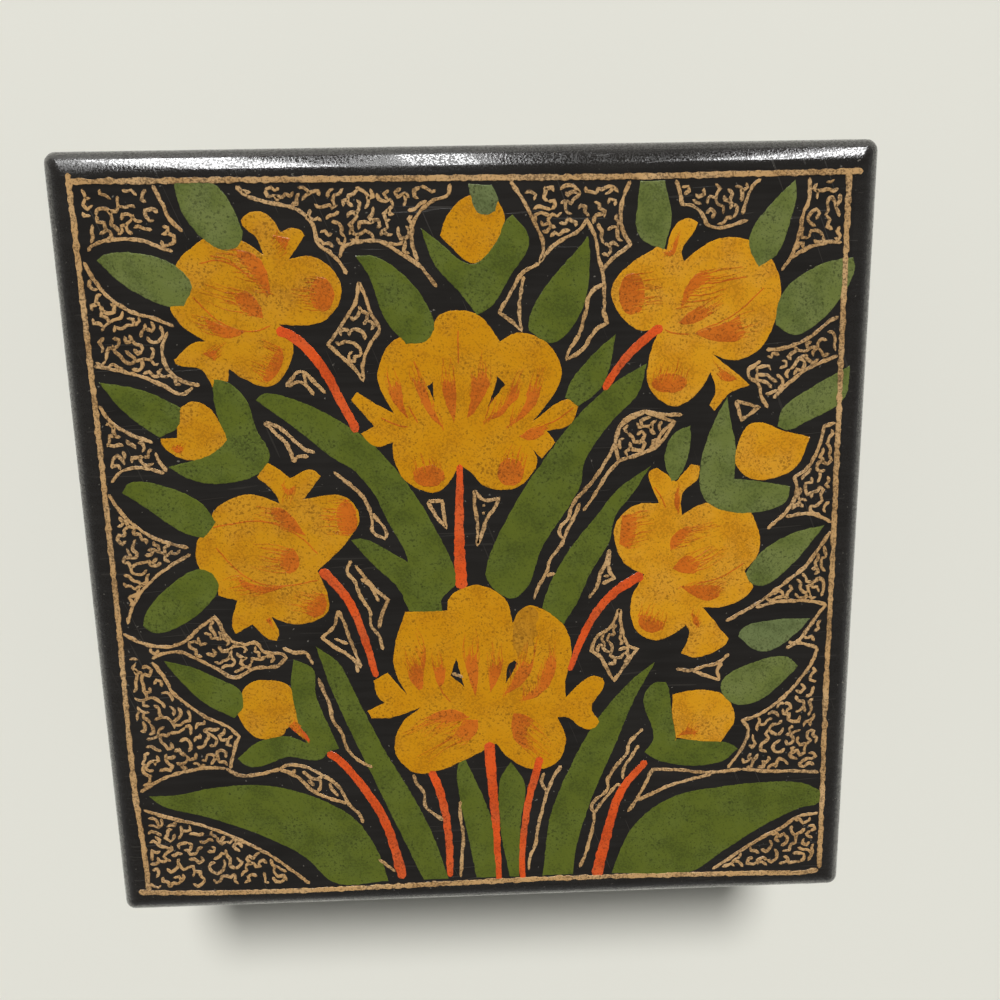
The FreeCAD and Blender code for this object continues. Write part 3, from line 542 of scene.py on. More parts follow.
def spot(sizes):
    """A round spot as a closed outline, from a text with its centre and its half width and height."""
    centre, halves = sizes.split()
    middle = millimetres(centre)[0]
    half_width, half_height = pairs(halves)[0]
    turns = [math.tau * k / SPOT_SIDES for k in range(SPOT_SIDES)]
    return [
        shaken(middle + Vector((math.cos(t) * half_width, math.sin(t) * half_height)) * MM, WOBBLE * 2 * MM)
        for t in turns
    ]


def surface(point):
    """The height of the lid's surface: flat, then falling away over the rounded edge."""
    beyond = min(EDGE_ROUND, max(0, abs(point.x) - FACE_HALF, abs(point.y) - FACE_HALF))
    return FACE_Z - EDGE_ROUND + math.sqrt(EDGE_ROUND ** 2 - beyond ** 2)


def placed(name, data):
    """A new object of this name and data, in the scene."""
    made = bpy.data.objects.new(name, data)
    bpy.context.scene.collection.objects.link(made)
    return made


class PaintLayer:
    """Gathers closed solids of paint and makes one object of them."""

    def __init__(self, name):
        self.name = name
        self.vertices = []
        self.faces = []

    def ring(self, outline, height):
        """Adds the outline's points at this height above the face and returns their numbers."""
        first = len(self.vertices)
        self.vertices += [(point.x, point.y, surface(point) + height) for point in outline]
        return list(range(first, len(self.vertices)))

    def wall(self, lower, upper):
        """Adds the faces between two rings of equal length."""
        for i in range(len(lower)):
            before = i - 1
            self.faces.append((lower[before], lower[i], upper[i], upper[before]))

    def plate(self, outline, height, rim):
        """Adds a flat patch of paint with a rounded rim."""
        if area(outline) < 0:
            outline = outline[::-1]
        shrunk = inset(outline, rim)
        low = self.ring(outline, -SUNK)
        shoulder = self.ring(outline, height / 3)
        top = self.ring(shrunk, height)
        self.wall(low, shoulder)
        self.wall(shoulder, top)
        for triangle in tessellate_polygon([[point.to_3d() for point in shrunk]]):
            self.faces.append(self.facing([top[i] for i in triangle], True))
            self.faces.append(self.facing([low[i] for i in triangle], False))

    def facing(self, corners, upwards):
        """The triangle's corners in the order that makes it face up or down."""
        a, b, c = (Vector(self.vertices[i]) for i in corners)
        points_up = (b - a).cross(c - a).z > 0
        return tuple(corners if points_up == upwards else reversed(corners))

    def stroke(self, line, width, height, rim, thin=None, ragged=STROKE_RAGGED):
        """Adds a brush stroke along an open line, with round ends and an uneven width."""
        thin = width if thin is None else thin
        total = sum((b - a).length for a, b in zip(line, line[1:]))
        done = 0
        rings = []
        for i, point in enumerate(line):
            ahead = line[min(i + 1, len(line) - 1)] - line[max(i - 1, 0)]
            side = Vector((-ahead.y, ahead.x)).normalized()
            if i:
                done += (point - line[i - 1]).length
            full = width + (thin - width) * (done / total)
            full *= 1 + ragged * noise.noise(Vector((point.x, point.y, width)) * (WOBBLE_SCALE / MM))
            nearest = min(done, total - done)
            reach = full / 2
            ending = max(0.0, 1 - nearest / reach)
            half = max(rim, reach * math.sqrt(1 - ending * ending))
            rings.append(self.section(point, side, half, height, rim))
        for before, after in zip(rings, rings[1:]):
            for k in range(len(before)):
                self.faces.append((before[k - 1], after[k - 1], after[k], before[k]))
        self.faces.append(tuple(rings[0]))
        self.faces.append(tuple(reversed(rings[-1])))

    def section(self, point, side, half, height, rim):
        """Adds one cross section of a stroke: wide below, narrower by the rim on top."""
        narrow = max(half - rim, half / 2)
        first = len(self.vertices)
        for offset, lift in ((half, -SUNK), (narrow, height), (-narrow, height), (-half, -SUNK)):
            corner = point + side * offset
            self.vertices.append((corner.x, corner.y, surface(corner) + lift))
        return list(range(first, len(self.vertices)))

    def finish(self, material):
        """Makes the object, which rides on the lid and wears the given material."""
        mesh = bpy.data.meshes.new(self.name)
        mesh.from_pydata(self.vertices, [], self.faces)
        mesh.validate()
        mesh.materials.append(material)
        piece = placed(self.name, mesh)
        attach(piece, "lid")


def sides(outline):
    """The outline's sides, each as its two end points."""
    return zip(outline, outline[1:] + outline[:1])


def area(outline):
    """The outline's area, positive where it runs counter-clockwise."""
    return sum(a.x * b.y - b.x * a.y for a, b in sides(outline)) / 2


def inset(outline, distance):
    """The outline with each point moved inwards along its own normal."""
    moved = []
    count = len(outline)
    for i, point in enumerate(outline):
        along = outline[(i + 1) % count] - outline[i - 1]
        inward = Vector((-along.y, along.x)).normalized()
        moved.append(point + inward * distance)
    return moved


def contains(outline, point, margin):
    """True if the point lies inside the outline and at least the margin away from it."""
    inside = False
    for a, b in sides(outline):
        if (a.y > point.y) != (b.y > point.y):
            if point.x < a.x + (b.x - a.x) * (point.y - a.y) / (b.y - a.y):
                inside = not inside
    if not inside:
        return False
    for a, b in sides(outline):
        share = intersect_point_line(point, a, b)[1]
        foot = a + (b - a) * max(0.0, min(1.0, share))
        if (foot - point).length < margin:
            return False
    return True


def wandering(start, chance, gold, free):
    """The points of one curl: a brush that wanders off and bends until it meets something."""
    heading = chance.uniform(0, math.tau)
    bend = chance.choice((-1, 1))
    points = [start]
    for _ in range(chance.randint(FEWEST_BENDS, gold.curl_bends)):
        reach = gold.curl_step * chance.uniform(*CURL_REACH)
        ahead = points[-1] + Vector((math.cos(heading), math.sin(heading))) * reach
        own = all((ahead - point).length > gold.curl_spacing for point in points[:-1])
        if not own or not free(ahead):
            break
        points.append(ahead)
        heading += bend * chance.uniform(*CURL_BEND)
        if chance.random() < BEND_BACK:
            bend = -bend
    return points


def curls_in(outline, gold, chance):
    """Curls laid at random in a cell, clear of its edge and of each other."""
    low = Vector((min(point.x for point in outline), min(point.y for point in outline)))
    high = Vector((max(point.x for point in outline), max(point.y for point in outline)))
    tries = int((high.x - low.x) * (high.y - low.y) / MM ** 2 * gold.tries_per_area)
    taken = []
    curls = []

    def free(point):
        near = any((point - other).length < gold.curl_spacing for other in taken)
        return not near and contains(outline, point, gold.curl_margin)

    for attempt in range(tries):
        start = Vector((chance.uniform(low.x, high.x), chance.uniform(low.y, high.y)))
        if taken and chance.random() < gold.joined:
            start = chance.choice(taken)
        elif not free(start):
            continue
        points = wandering(start, chance, gold, free)
        if len(points) < (LONG_CURL if attempt < tries * LONG_CURLS_FIRST else SHORT_CURL):
            continue
        taken += points
        taken += [(first + second) / 2 for first, second in zip(points, points[1:])]
        curls.append(brushed(points, closed=False))
    return curls


def feather(dark, light, outline, pull, shading, chance, height):
    """Feathers a patch's far side: orange strokes thin out of it, and petal strokes thin into it."""
    forward = pull.normalized()
    across = Vector((-forward.y, forward.x))
    spread = [point.dot(across) for point in outline]
    count = max(2, round((max(spread) - min(spread)) / shading.hatch_spacing))
    for k in range(count):
        lane = min(spread) + (k + 0.5) / count * (max(spread) - min(spread))
        near = sorted(outline, key=lambda point: abs(point.dot(across) - lane))[:NEAREST_POINTS]
        rim = max(near, key=lambda point: point.dot(forward))
        start = rim - forward * chance.uniform(*DARK_START) * MM
        end = rim + pull * chance.uniform(*DARK_REACH) ** 2
        level = height + k % BRISTLE_LEVELS * STEP_UP * MM
        bristle(dark, start, end, chance, shading.hatch_width, level)
        if k % 2:
            start = rim + forward * LIGHT_START * MM
            end = rim - forward * chance.uniform(*LIGHT_REACH) * MM
            level += BRISTLE_LEVELS * STEP_UP * MM
            bristle(light, start, end, chance, shading.hatch_width, level)


def bristle(layer, start, end, chance, width, height):
    """One fine stroke, a little bent, that thins out to nothing."""
    along = end - start
    bend = Vector((-along.y, along.x)) * chance.uniform(-BRISTLE_BEND, BRISTLE_BEND)
    line = brushed([start, (start + end) / 2 + bend, end], closed=False)
    layer.stroke(line, width, height, STROKE_RIM / 2, thin=STROKE_RIM)


def linear(red, green, blue):
    """A screen colour of 0 to 255 as the linear colour that Blender's sockets take."""
    shares = [value / 255 for value in (red, green, blue)]
    return tuple(s / 12.92 if s <= 0.04045 else ((s + 0.055) / 1.055) ** 2.4 for s in shares)


def colour_property(name, description, default):
    """A colour that a user can change."""
    return bpy.props.FloatVectorProperty(
        name=name, description=description, default=default, subtype="COLOR", size=3, min=0, max=1
    )


def length_property(name, description, default):
    """A length that a user can change, in metres."""
    return bpy.props.FloatProperty(
        name=name, description=description, default=default, unit="LENGTH", precision=5, min=0
    )


def number_property(name, description, default, least=0.0, most=1000.0):
    """A plain number that a user can change."""
    return bpy.props.FloatProperty(
        name=name, description=description, default=default, min=least, max=most
    )


def lift_property(name, thing, default):
    """How high a paint stands above the lid's face, in millimetres."""
    return number_property(name, f"Height of {thing} in mm", default, least=0.01)


class BoxPaintSettings(bpy.types.PropertyGroup):
    """Thickness and colour of each paint."""

    blade_lift: lift_property("Blades", "the long leaves' paint", 0.02)
    petal_lift: lift_property("Petals", "the petals' paint", 0.032)
    leaf_lift: lift_property("Leaves", "the short leaves' paint", 0.042)
    stem_lift: lift_property("Stems", "the stems' paint", 0.05)
    ochre: colour_property("Ochre", "Petals of the centre blossoms", linear(202, 139, 8))
    warm_ochre: colour_property("Warm ochre", "Petals of the left blossoms", linear(202, 142, 16))
    # The ochre of the right blossoms is the petal colour lightened by painted glare
    pale_ochre: colour_property("Pale ochre", "Petals of the right blossoms", linear(212, 149, 22))
    smudged: colour_property("Smudged ochre", "Worn patch on a petal", linear(190, 130, 22))
    green: colour_property("Green", "Blades, and leaves to the left and below", linear(92, 102, 32))
    # The green of the leaves at the top and right is the leaf colour lightened by painted glare
    glare_leaf_green: colour_property("Leaf green", "Leaves at the top and right", linear(106, 116, 56))
    rubbed_green: colour_property("Rubbed green", "Leaves worn pale", linear(108, 120, 74))
    orange: colour_property("Orange", "Shading on the petals", linear(204, 106, 24))
    red: colour_property("Red", "Stems", linear(224, 86, 30))
    gold: colour_property("Gold", "Frame, cells and curls", linear(196, 156, 104))
    lacquer: colour_property("Lacquer", "Boards, and the gaps between petals", linear(24, 22, 20))


class BoxShadingSettings(bpy.types.PropertyGroup):
    """How the petals are shaded."""

    lift: lift_property("Height", "the shading paint", 0.052)
    hatch_spacing: length_property("Spacing", "Distance between fine strokes", 0.23 * MM)
    hatch_width: length_property("Width", "Width of a fine stroke where it starts", 0.19 * MM)
    line_width: length_property("Line", "Width of the lines between petals", 0.24 * MM)


class BoxGoldSettings(bpy.types.PropertyGroup):
    """How the gold lines are drawn."""

    lift: lift_property("Height", "the gold paint", 0.085)
    frame_width: length_property("Frame", "Width of the frame line", 0.9 * MM)
    cell_width: length_property("Cell", "Width of the line round a cell", 0.6 * MM)
    curl_width: length_property("Curl", "Width of a curl", 0.56 * MM)
    curl_step: length_property("Curl step", "How far a curl runs between bends", 0.92 * MM)
    curl_bends: bpy.props.IntProperty(
        name="Bends", description="Most bends of a curl", default=7, min=FEWEST_BENDS)
    curl_margin: length_property("Margin", "Distance of a curl from the cell's edge", 0.3 * MM)
    curl_spacing: length_property("Spacing", "Least distance between two curls", 0.73 * MM)
    tries_per_area: number_property("Density", "Attempts to place a curl per square millimetre", 12, 0.1)
    joined: number_property("Joined", "Share of the curls that branch off another", 0.35, most=1.0)
    seed: bpy.props.IntProperty(name="Seed", description="Changes where the curls fall", default=7)


class BoxStageSettings(bpy.types.PropertyGroup):
    """Floor, lights and camera."""

    floor_colour: colour_property("Floor", "Colour of the floor", linear(232, 231, 221))
    horizon_strength: number_property("Horizon", "Brightness of the surroundings at eye level", 0.36)
    zenith_strength: number_property("Zenith", "Brightness of the surroundings overhead", 0.16)
    sun_strength: number_property("Overhead", "Strength of the even light from above", 3.2)
    glow: number_property("Glow", "Brightness of the soft panels behind the box", 27)
    lens: number_property("Lens", "Focal length in mm", 32.59, least=1.0)


def connect(tree, node, inputs):
    """Sets each input of the node to a value or a link."""
    for name, value in inputs.items():
        if isinstance(value, bpy.types.NodeSocket):
            tree.links.new(value, node.inputs[name])
        else:
            node.inputs[name].default_value = value


def add(tree, kind, inputs=None, **settings):
    """Adds a shader node with these settings and inputs."""
    made = tree.nodes.new(kind)
    for name, value in settings.items():
        setattr(made, name, value)
    connect(tree, made, inputs or {})
    return made


def maths(tree, operation, first, second=0.0):
    """The result of a sum on two values or links."""
    return add(tree, "ShaderNodeMath", {0: first, 1: second}, operation=operation).outputs[0]


def times(tree, first, second):
    """The product of two values or links."""
    return maths(tree, "MULTIPLY", first, second)


def plus(tree, first, second):
    """The first value or link with the second added."""
    return maths(tree, "ADD", first, second)


def minus(tree, first, second):
    """The first value or link less the second."""
    return maths(tree, "SUBTRACT", first, second)


def ramp(tree, value, start, end, low=0.0, high=1.0):
    """The value eased from low at start to high at end."""
    inputs = {"Value": value, "From Min": start, "From Max": end, "To Min": low, "To Max": high}
    return add(tree, "ShaderNodeMapRange", inputs, interpolation_type="SMOOTHSTEP").outputs["Result"]


def eased(tree, mask, low, high):
    """Low where the mask is empty and high where it is full."""
    return ramp(tree, mask, 0, 1, low, high)


def blend(tree, share, first, second):
    """Two colours mixed: all of the second where the share is 1."""
    mix = add(tree, "ShaderNodeMix", {0: share}, data_type="RGBA")
    for index, colour in ((6, first), (7, second)):
        solid = colour if isinstance(colour, bpy.types.NodeSocket) else (*colour, 1)
        connect(tree, mix, {index: solid})
    return mix.outputs[2]


def tinted(tree, colour, mask, share, tint):
    """The colour with this share of a tint where the mask is full."""
    return blend(tree, eased(tree, mask, 0, share), colour, tint)


def grain(tree, vector, scale, detail=3.0, roughness=0.55):
    """Noise of this many waves per metre."""
    inputs = {"Vector": vector, "Scale": scale, "Detail": detail, "Roughness": roughness}
    return add(tree, "ShaderNodeTexNoise", inputs).outputs["Fac"]


def place(tree):
    """Where a point lies in the box's own frame, in metres."""
    return add(tree, "ShaderNodeTexCoord").outputs["Object"]


def streaked(tree, where, angle, stretch):
    """The place turned by an angle and squeezed along X, so that noise there becomes streaks."""
    across = add(tree, "ShaderNodeVectorRotate", {"Vector": where, "Angle": angle}, rotation_type="Z_AXIS")
    inputs = {0: across.outputs[0], 1: stretch}
    return add(tree, "ShaderNodeVectorMath", inputs, operation="MULTIPLY").outputs[0]


def new_group(name, inputs, outputs):
    """An empty group of shader nodes, with the sockets that it reads and those that it feeds."""
    group = bpy.data.node_groups.new(name, "ShaderNodeTree")
    for label, default in inputs.items():
        socket = group.interface.new_socket(label, in_out="INPUT", socket_type="NodeSocketFloat")
        socket.default_value = default
    for label in outputs:
        group.interface.new_socket(label, in_out="OUTPUT", socket_type="NodeSocketFloat")
    given = group.nodes.new("NodeGroupInput")
    result = group.nodes.new("NodeGroupOutput")
    return group, given.outputs, result


# The level, mostly of noise, at which a mark starts, and the level at which it is full
BLOTCH_LEVELS = (0.35, 0.7)
STREAK_LEVELS = (0.3, 0.7)
SMEAR_LEVELS = (0.4, 0.7)
CHIP_LEVELS = (0.78, 0.84)
FLECK_LEVELS = (0.75, 0.79)
GLINT_LEVELS = (0.47, 0.53)
EDGE_LEVELS = (0.02, 0.3)
# The level without any amount, how far a full amount lowers it, and how soon after it a mark is full
SPECK_LEVEL, SPECK_GAIN, SPECK_FADE = 0.68, 0.22, 0.08
SCRATCH_LEVEL, SCRATCH_GAIN, SCRATCH_FADE = 0.83, 0.1, 0.04
# How strongly specks gather in blotches, and the reach of a round dot from its middle
BLOTCH_PULL = 0.45
DOT_REACH = (0.1, 0.32)
DOT_FADE = 0.07
# Noise in waves per metre, or as a share of the specks' own
BLOTCH_SHARE = 0.09
DOT_SHARE = 0.62
SCRATCH_WAVES = 2600.0
SMEAR_WAVES = 55.0
CHIP_WAVES = 420.0
MOTTLE_WAVES = 90.0
FLECK_WAVES = 1500.0
GLINT_WAVES = 3300.0
PEEL_WAVES = 2600.0
RIPPLE_WAVES = 260.0
# Each set of scratches: its angle in radians and how far it is drawn out
SCRATCH_SETS = ((0.02, 34.0), (-0.07, 26.0), (1.2, 30.0))


def speckle_group():
    """Dark specks and worn spots in a brushed paint, like flaws under old varnish."""
    inputs = {"Speck Size": 0.4 * MM, "Amount": 0.3}
    tree, given, result = new_group("Paint specks", inputs, ("Specks", "Patches"))
    where = place(tree)
    scale = maths(tree, "DIVIDE", 1.0, given["Speck Size"])
    fine = grain(tree, where, scale, detail=1.5, roughness=0.6)
    broad = grain(tree, where, times(tree, scale, BLOTCH_SHARE), detail=4.0)
    start = minus(tree, SPECK_LEVEL, times(tree, given["Amount"], SPECK_GAIN))
    raised = plus(tree, fine, times(tree, minus(tree, broad, 0.5), BLOTCH_PULL))
    soft = ramp(tree, raised, start, plus(tree, start, SPECK_FADE))
    cells = add(tree, "ShaderNodeTexVoronoi", {"Vector": where, "Scale": times(tree, scale, DOT_SHARE)})
    chance = add(tree, "ShaderNodeSeparateColor", {0: cells.outputs["Color"]}).outputs["Red"]
    reach = times(tree, chance, ramp(tree, broad, *BLOTCH_LEVELS, *DOT_REACH))
    dots = ramp(tree, minus(tree, cells.outputs["Distance"], reach), DOT_FADE, 0.0)
    patches = ramp(tree, broad, *BLOTCH_LEVELS)
    connect(tree, result, {"Specks": maths(tree, "MAXIMUM", soft, dots), "Patches": patches})
    return tree


def streak_group():
    """Fine ridges left by a brush, along a direction turned by an angle."""
    inputs = {"Angle": 0.0, "Streak Width": 0.5 * MM, "Stretch": 9.0}
    tree, given, result = new_group("Brush streaks", inputs, ("Streaks",))
    squeeze = {"X": maths(tree, "DIVIDE", 1.0, given["Stretch"]), "Y": 1.0, "Z": 1.0}
    stretch = add(tree, "ShaderNodeCombineXYZ", squeeze).outputs[0]
    along = streaked(tree, place(tree), given["Angle"], stretch)
    ridges = grain(tree, along, maths(tree, "DIVIDE", 1.0, given["Streak Width"]), detail=2.0)
    connect(tree, result, {"Streaks": ramp(tree, ridges, *STREAK_LEVELS)})
    return tree


def edge_group():
    """How near a point is to the box's outer edges and corners, broken up as hands wear it."""
    inputs = {"Half Side": 63.5 * MM, "Top": 51 * MM, "Reach": 3 * MM, "Amount": 0.4}
    tree, given, result = new_group("Edge wear", inputs, ("Wear", "Edge"))
    where = add(tree, "ShaderNodeSeparateXYZ", {0: place(tree)}).outputs
    gaps = [minus(tree, given["Half Side"], maths(tree, "ABSOLUTE", where[axis])) for axis in ("X", "Y")]
    gaps.append(minus(tree, given["Top"], where["Z"]))
    near = [ramp(tree, gap, given["Reach"], 0.0) for gap in gaps]
    first, second, third = [times(tree, near[a], near[b]) for a, b in ((0, 1), (1, 2), (0, 2))]
    edge = maths(tree, "MAXIMUM", maths(tree, "MAXIMUM", first, second), third)
    broken = grain(tree, place(tree), CHIP_WAVES, detail=6.0, roughness=0.7)
    level = plus(tree, broken, times(tree, edge, given["Amount"]))
    worn = times(tree, ramp(tree, level, *CHIP_LEVELS), ramp(tree, edge, *EDGE_LEVELS))
    connect(tree, result, {"Wear": worn, "Edge": edge})
    return tree


def scratch_group():
    """Thin handling scratches in crossing directions, and soft smears from fingers."""
    tree, given, result = new_group("Handling marks", {"Density": 0.3}, ("Scratches", "Smears"))
    where = place(tree)
    scratches = 0.0
    for angle, length in SCRATCH_SETS:
        along = streaked(tree, where, angle, (1 / length, 1.0, 1.0))
        line = grain(tree, along, SCRATCH_WAVES, detail=0.0)
        start = minus(tree, SCRATCH_LEVEL, times(tree, given["Density"], SCRATCH_GAIN))
        line = ramp(tree, line, start, plus(tree, start, SCRATCH_FADE))
        scratches = maths(tree, "MAXIMUM", scratches, line)
    smears = ramp(tree, grain(tree, where, SMEAR_WAVES), *SMEAR_LEVELS)
    connect(tree, result, {"Scratches": scratches, "Smears": smears})
    return tree


GROUP_MAKERS = {
    "Paint specks": speckle_group,
    "Brush streaks": streak_group,
    "Edge wear": edge_group,
    "Handling marks": scratch_group,
}


def use_group(tree, name, **values):
    """Places a shared node group in a material, with this material's own values."""
    made = tree.nodes.new("ShaderNodeGroup")
    made.node_tree = bpy.data.node_groups.get(name) or GROUP_MAKERS[name]()
    connect(tree, made, {label.replace("_", " ").title(): value for label, value in values.items()})
    return made.outputs


def new_material(name):
    """An empty material, with its tree and its shader."""
    material = bpy.data.materials.new(name)
    material.use_nodes = True
    tree = material.node_tree
    shader = next(n for n in tree.nodes if n.type == "BSDF_PRINCIPLED")
    return material, tree, shader


def relief(tree, height, depth):
    """A normal for a surface raised by the height, of which 1 stands this far out."""
    inputs = {"Height": height, "Strength": 0.5, "Distance": depth}
    return add(tree, "ShaderNodeBump", inputs).outputs["Normal"]


def scaled(colour, share):
    """The colour with its light made this share of what it was."""
    return tuple(value * share for value in colour)


OCHRE_SPECKS = linear(124, 78, 10)
LEAF_SPECKS = linear(48, 52, 20)
GROUND_SPECKS = linear(70, 52, 34)
# Each paint: its colour's setting, its deep and pale tones, the colour of its specks, its brushwork
PAINTS = {
    "Blade paint": ("green", linear(68, 80, 26), linear(98, 110, 48), LEAF_SPECKS, {"angle": 1.1}),
    "Leaf paint": ("green", linear(66, 80, 28), linear(106, 118, 56), LEAF_SPECKS, {"angle": 0.3}),
    # The next paint is the leaf green lightened by painted glare, for the leaves at the top and right
    "Pale leaf paint": (
        "glare_leaf_green", linear(74, 88, 38), linear(122, 130, 80), LEAF_SPECKS, {"angle": 0.3}),
    "Rubbed leaf paint": (
        "rubbed_green", linear(72, 82, 44), linear(128, 132, 84), LEAF_SPECKS, {"amount": 0.6}),
    "Ochre paint": ("ochre", linear(190, 122, 8), linear(208, 148, 30), OCHRE_SPECKS, {}),
    "Warm ochre paint": (
        "warm_ochre", linear(184, 116, 14), linear(204, 146, 48), OCHRE_SPECKS, {"amount": 0.6}),
    # The next paint is the ochre lightened by painted glare, for the blossoms and buds on the right
    "Pale ochre paint": (
        "pale_ochre", linear(196, 124, 16), linear(216, 158, 60), OCHRE_SPECKS, {"amount": 0.5}),
    "Worn ochre paint": (
        "smudged", linear(158, 104, 16), linear(200, 144, 46), OCHRE_SPECKS,
        {"angle": 1.4, "streak_share": 0.5, "amount": 0.7}),
    "Stem paint": (
        "red", linear(172, 62, 24), linear(198, 104, 60), linear(110, 46, 22), {"amount": 0.35}),
    "Orange paint": (
        "orange", linear(166, 78, 14), linear(198, 112, 30), linear(96, 52, 14), {"amount": 0.5}),
    "Gold paint": (
        "gold", linear(150, 112, 68), linear(218, 184, 138), GROUND_SPECKS,
        {"amount": 0.7, "speck_share": 0.55}),
}


def paint(name):
    """The paint of this name, made the first time it is asked for."""
    if name in bpy.data.materials:
        return bpy.data.materials[name]
    setting, deep, pale, specks, brushwork = PAINTS[name]
    colour = tuple(getattr(bpy.context.scene.box_paint, setting))
    return brush_paint(name, colour, deep, pale, specks, **brushwork)


def brush_paint(name, colour, deep, pale, specks, angle=0.6, streak_share=0.12, amount=0.4,
                speck_share=0.3):
    """A brushed paint under varnish: a mottled ground, faint streaks, fine specks and dark flaws."""
    material, tree, shader = new_material(name)
    fine = use_group(tree, "Paint specks", speck_size=0.36 * MM, amount=0.7)
    dark = use_group(tree, "Paint specks", speck_size=0.5 * MM, amount=amount * 0.6)
    streaks = use_group(tree, "Brush streaks", angle=angle)["Streaks"]
    scratches = use_group(tree, "Handling marks", density=0.1)["Scratches"]
    tint = tinted(tree, colour, fine["Patches"], 0.4, deep)
    tint = tinted(tree, tint, dark["Patches"], 0.35, pale)
    tint = tinted(tree, tint, streaks, streak_share, deep)
    tint = tinted(tree, tint, fine["Specks"], speck_share, specks)
    tint = tinted(tree, tint, dark["Specks"], 0.48, scaled(specks, 0.6))
    tint = tinted(tree, tint, scratches, 0.1, pale)
    pits = times(tree, plus(tree, fine["Specks"], dark["Specks"]), 0.4)
    height = plus(tree, minus(tree, times(tree, streaks, 0.5), pits), fine["Patches"])
    connect(tree, shader, {
        "Base Color": tint,
        "Roughness": eased(tree, dark["Patches"], 0.2, 0.27),
        "Normal": relief(tree, height, 0.04 * MM),
        "Specular IOR Level": 0.22,
        "Coat Weight": 0.35,
        "Coat Roughness": 0.14,
    })
    return material


SCRATCH_GREY = linear(120, 112, 100)
STREAK_GREY = linear(56, 54, 52)
FLECK_GREY = linear(104, 100, 92)
RUBBED_BROWN = linear(44, 40, 36)
BARE_BOARD = linear(156, 132, 104)
# Each lacquer: its name, the board at its top edge, its least roughness, its wear and its stipple
LACQUERS = {
    "base": ("Base lacquer", "base_wall_front", 0.16, 0.26, 0.0),
    "collar": ("Collar lacquer", "collar_front", 0.3, 0.34, 0.0),
    "lid": ("Lid lacquer", "lid_top", 0.08, 0.26, 1.0),
}


def lacquer(part):
    """The lacquer of the base, the collar or the lid, made the first time it is asked for."""
    name, board, roughness, wear, stipple = LACQUERS[part]
    if name in bpy.data.materials:
        return bpy.data.materials[name]
    return brush_lacquer(name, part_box(board)[1].z, roughness, wear, stipple)


def brush_lacquer(name, top, roughness, wear, stipple):
    """Black lacquer over paper board: brush marks, smears, thin scratches and rubbed edges."""
    material, tree, shader = new_material(name)
    where = place(tree)
    colour = tuple(bpy.context.scene.box_paint.lacquer)
    edges = use_group(tree, "Edge wear", half_side=HALF_SIDE, top=top, amount=wear)
    near = use_group(tree, "Edge wear", half_side=HALF_SIDE, top=top, reach=1.25 * EDGE_ROUND)
    marks = use_group(tree, "Handling marks", density=0.3)
    streaks = use_group(tree, "Brush streaks", angle=0.0, streak_width=0.9 * MM, stretch=14.0)["Streaks"]
    flecks = ramp(tree, grain(tree, where, FLECK_WAVES, detail=1.0), *FLECK_LEVELS)
    tint = blend(tree, grain(tree, where, MOTTLE_WAVES), colour, scaled(colour, 2.2))
    tint = tinted(tree, tint, marks["Scratches"], 0.06, SCRATCH_GREY)
    tint = tinted(tree, tint, streaks, 0.12, STREAK_GREY)
    tint = blend(tree, flecks, tint, FLECK_GREY)
    tint = tinted(tree, tint, edges["Edge"], 0.35, RUBBED_BROWN)
    tint = blend(tree, edges["Wear"], tint, BARE_BOARD)
    rough = eased(tree, marks["Smears"], roughness, roughness + 0.12)
    rough = plus(tree, rough, eased(tree, edges["Wear"], 0, 0.4))
    rough = plus(tree, rough, eased(tree, marks["Scratches"], 0, 0.2))
    # The stipple of thick lacquer on the lid's rounded edge glints in points, with duller gaps
    level = add(tree, "ShaderNodeSeparateXYZ", {0: where}).outputs["Z"]
    upper = ramp(tree, level, top - 1.4 * EDGE_ROUND, top - EDGE_ROUND, 0, stipple)
    rounded = times(tree, ramp(tree, near["Edge"], 0, 0.1), upper)
    glints = ramp(tree, grain(tree, where, GLINT_WAVES, detail=2.0), *GLINT_LEVELS)
    gaps = times(tree, minus(tree, 1.0, glints), times(tree, rounded, 0.14))
    peel = times(tree, grain(tree, where, PEEL_WAVES, detail=1.0), eased(tree, rounded, 0.6, 1.0))
    ripple = times(tree, grain(tree, where, RIPPLE_WAVES, detail=2.0), 1.4)
    height = plus(tree, plus(tree, ripple, peel), times(tree, streaks, 0.35))
    height = minus(tree, height, edges["Wear"])
    height = minus(tree, height, times(tree, marks["Scratches"], 0.4))
    connect(tree, shader, {
        "Base Color": tint,
        "Roughness": plus(tree, rough, gaps),
        "Normal": relief(tree, height, 0.05 * MM),
        "Specular IOR Level": 0.34,
        "Coat Weight": times(tree, glints, times(tree, rounded, 0.6)),
        "Coat Roughness": 0.06,
    })
    return material


def petal_paint(piece):
    """The ochre of a blossom or bud: duller on the left, and paler on the right, where painted glare
    lightens it.
    """
    if "left" in piece:
        return paint("Warm ochre paint")
    if "right" in piece:
        return paint("Pale ochre paint")
    return paint("Ochre paint")


def leaf_paint(piece):
    """The green of the short leaves: paler at the top and right, where painted glare lightens the green."""
    if "lower" in piece or piece in ("leaves_left_bud", "leaves_middle_left", "leaves_crown"):
        return paint("Leaf paint")
    return paint("Pale leaf paint")


def painted_patches(drawing, lift, paint_for):
    """Makes one object of flat patches for each name in a drawing text."""
    for name, outlines in drawn(drawing).items():
        layer = PaintLayer(name)
        for order, points in enumerate(outlines):
            layer.plate(patch(points), (lift + order * STEP_UP) * MM, RIM)
        layer.finish(paint_for(name))


class BOX_OT_finish_boards(bpy.types.Operator):
    """Lacquers the boards, the collar and the lid"""

    bl_idname = "box.finish_boards"
    bl_label = "Finish the boards"

    def execute(self, context):
        for name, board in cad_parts.items():
            part = name.split("_")[0]
            board.data.materials.clear()
            board.data.materials.append(lacquer(part))
        return {"FINISHED"}


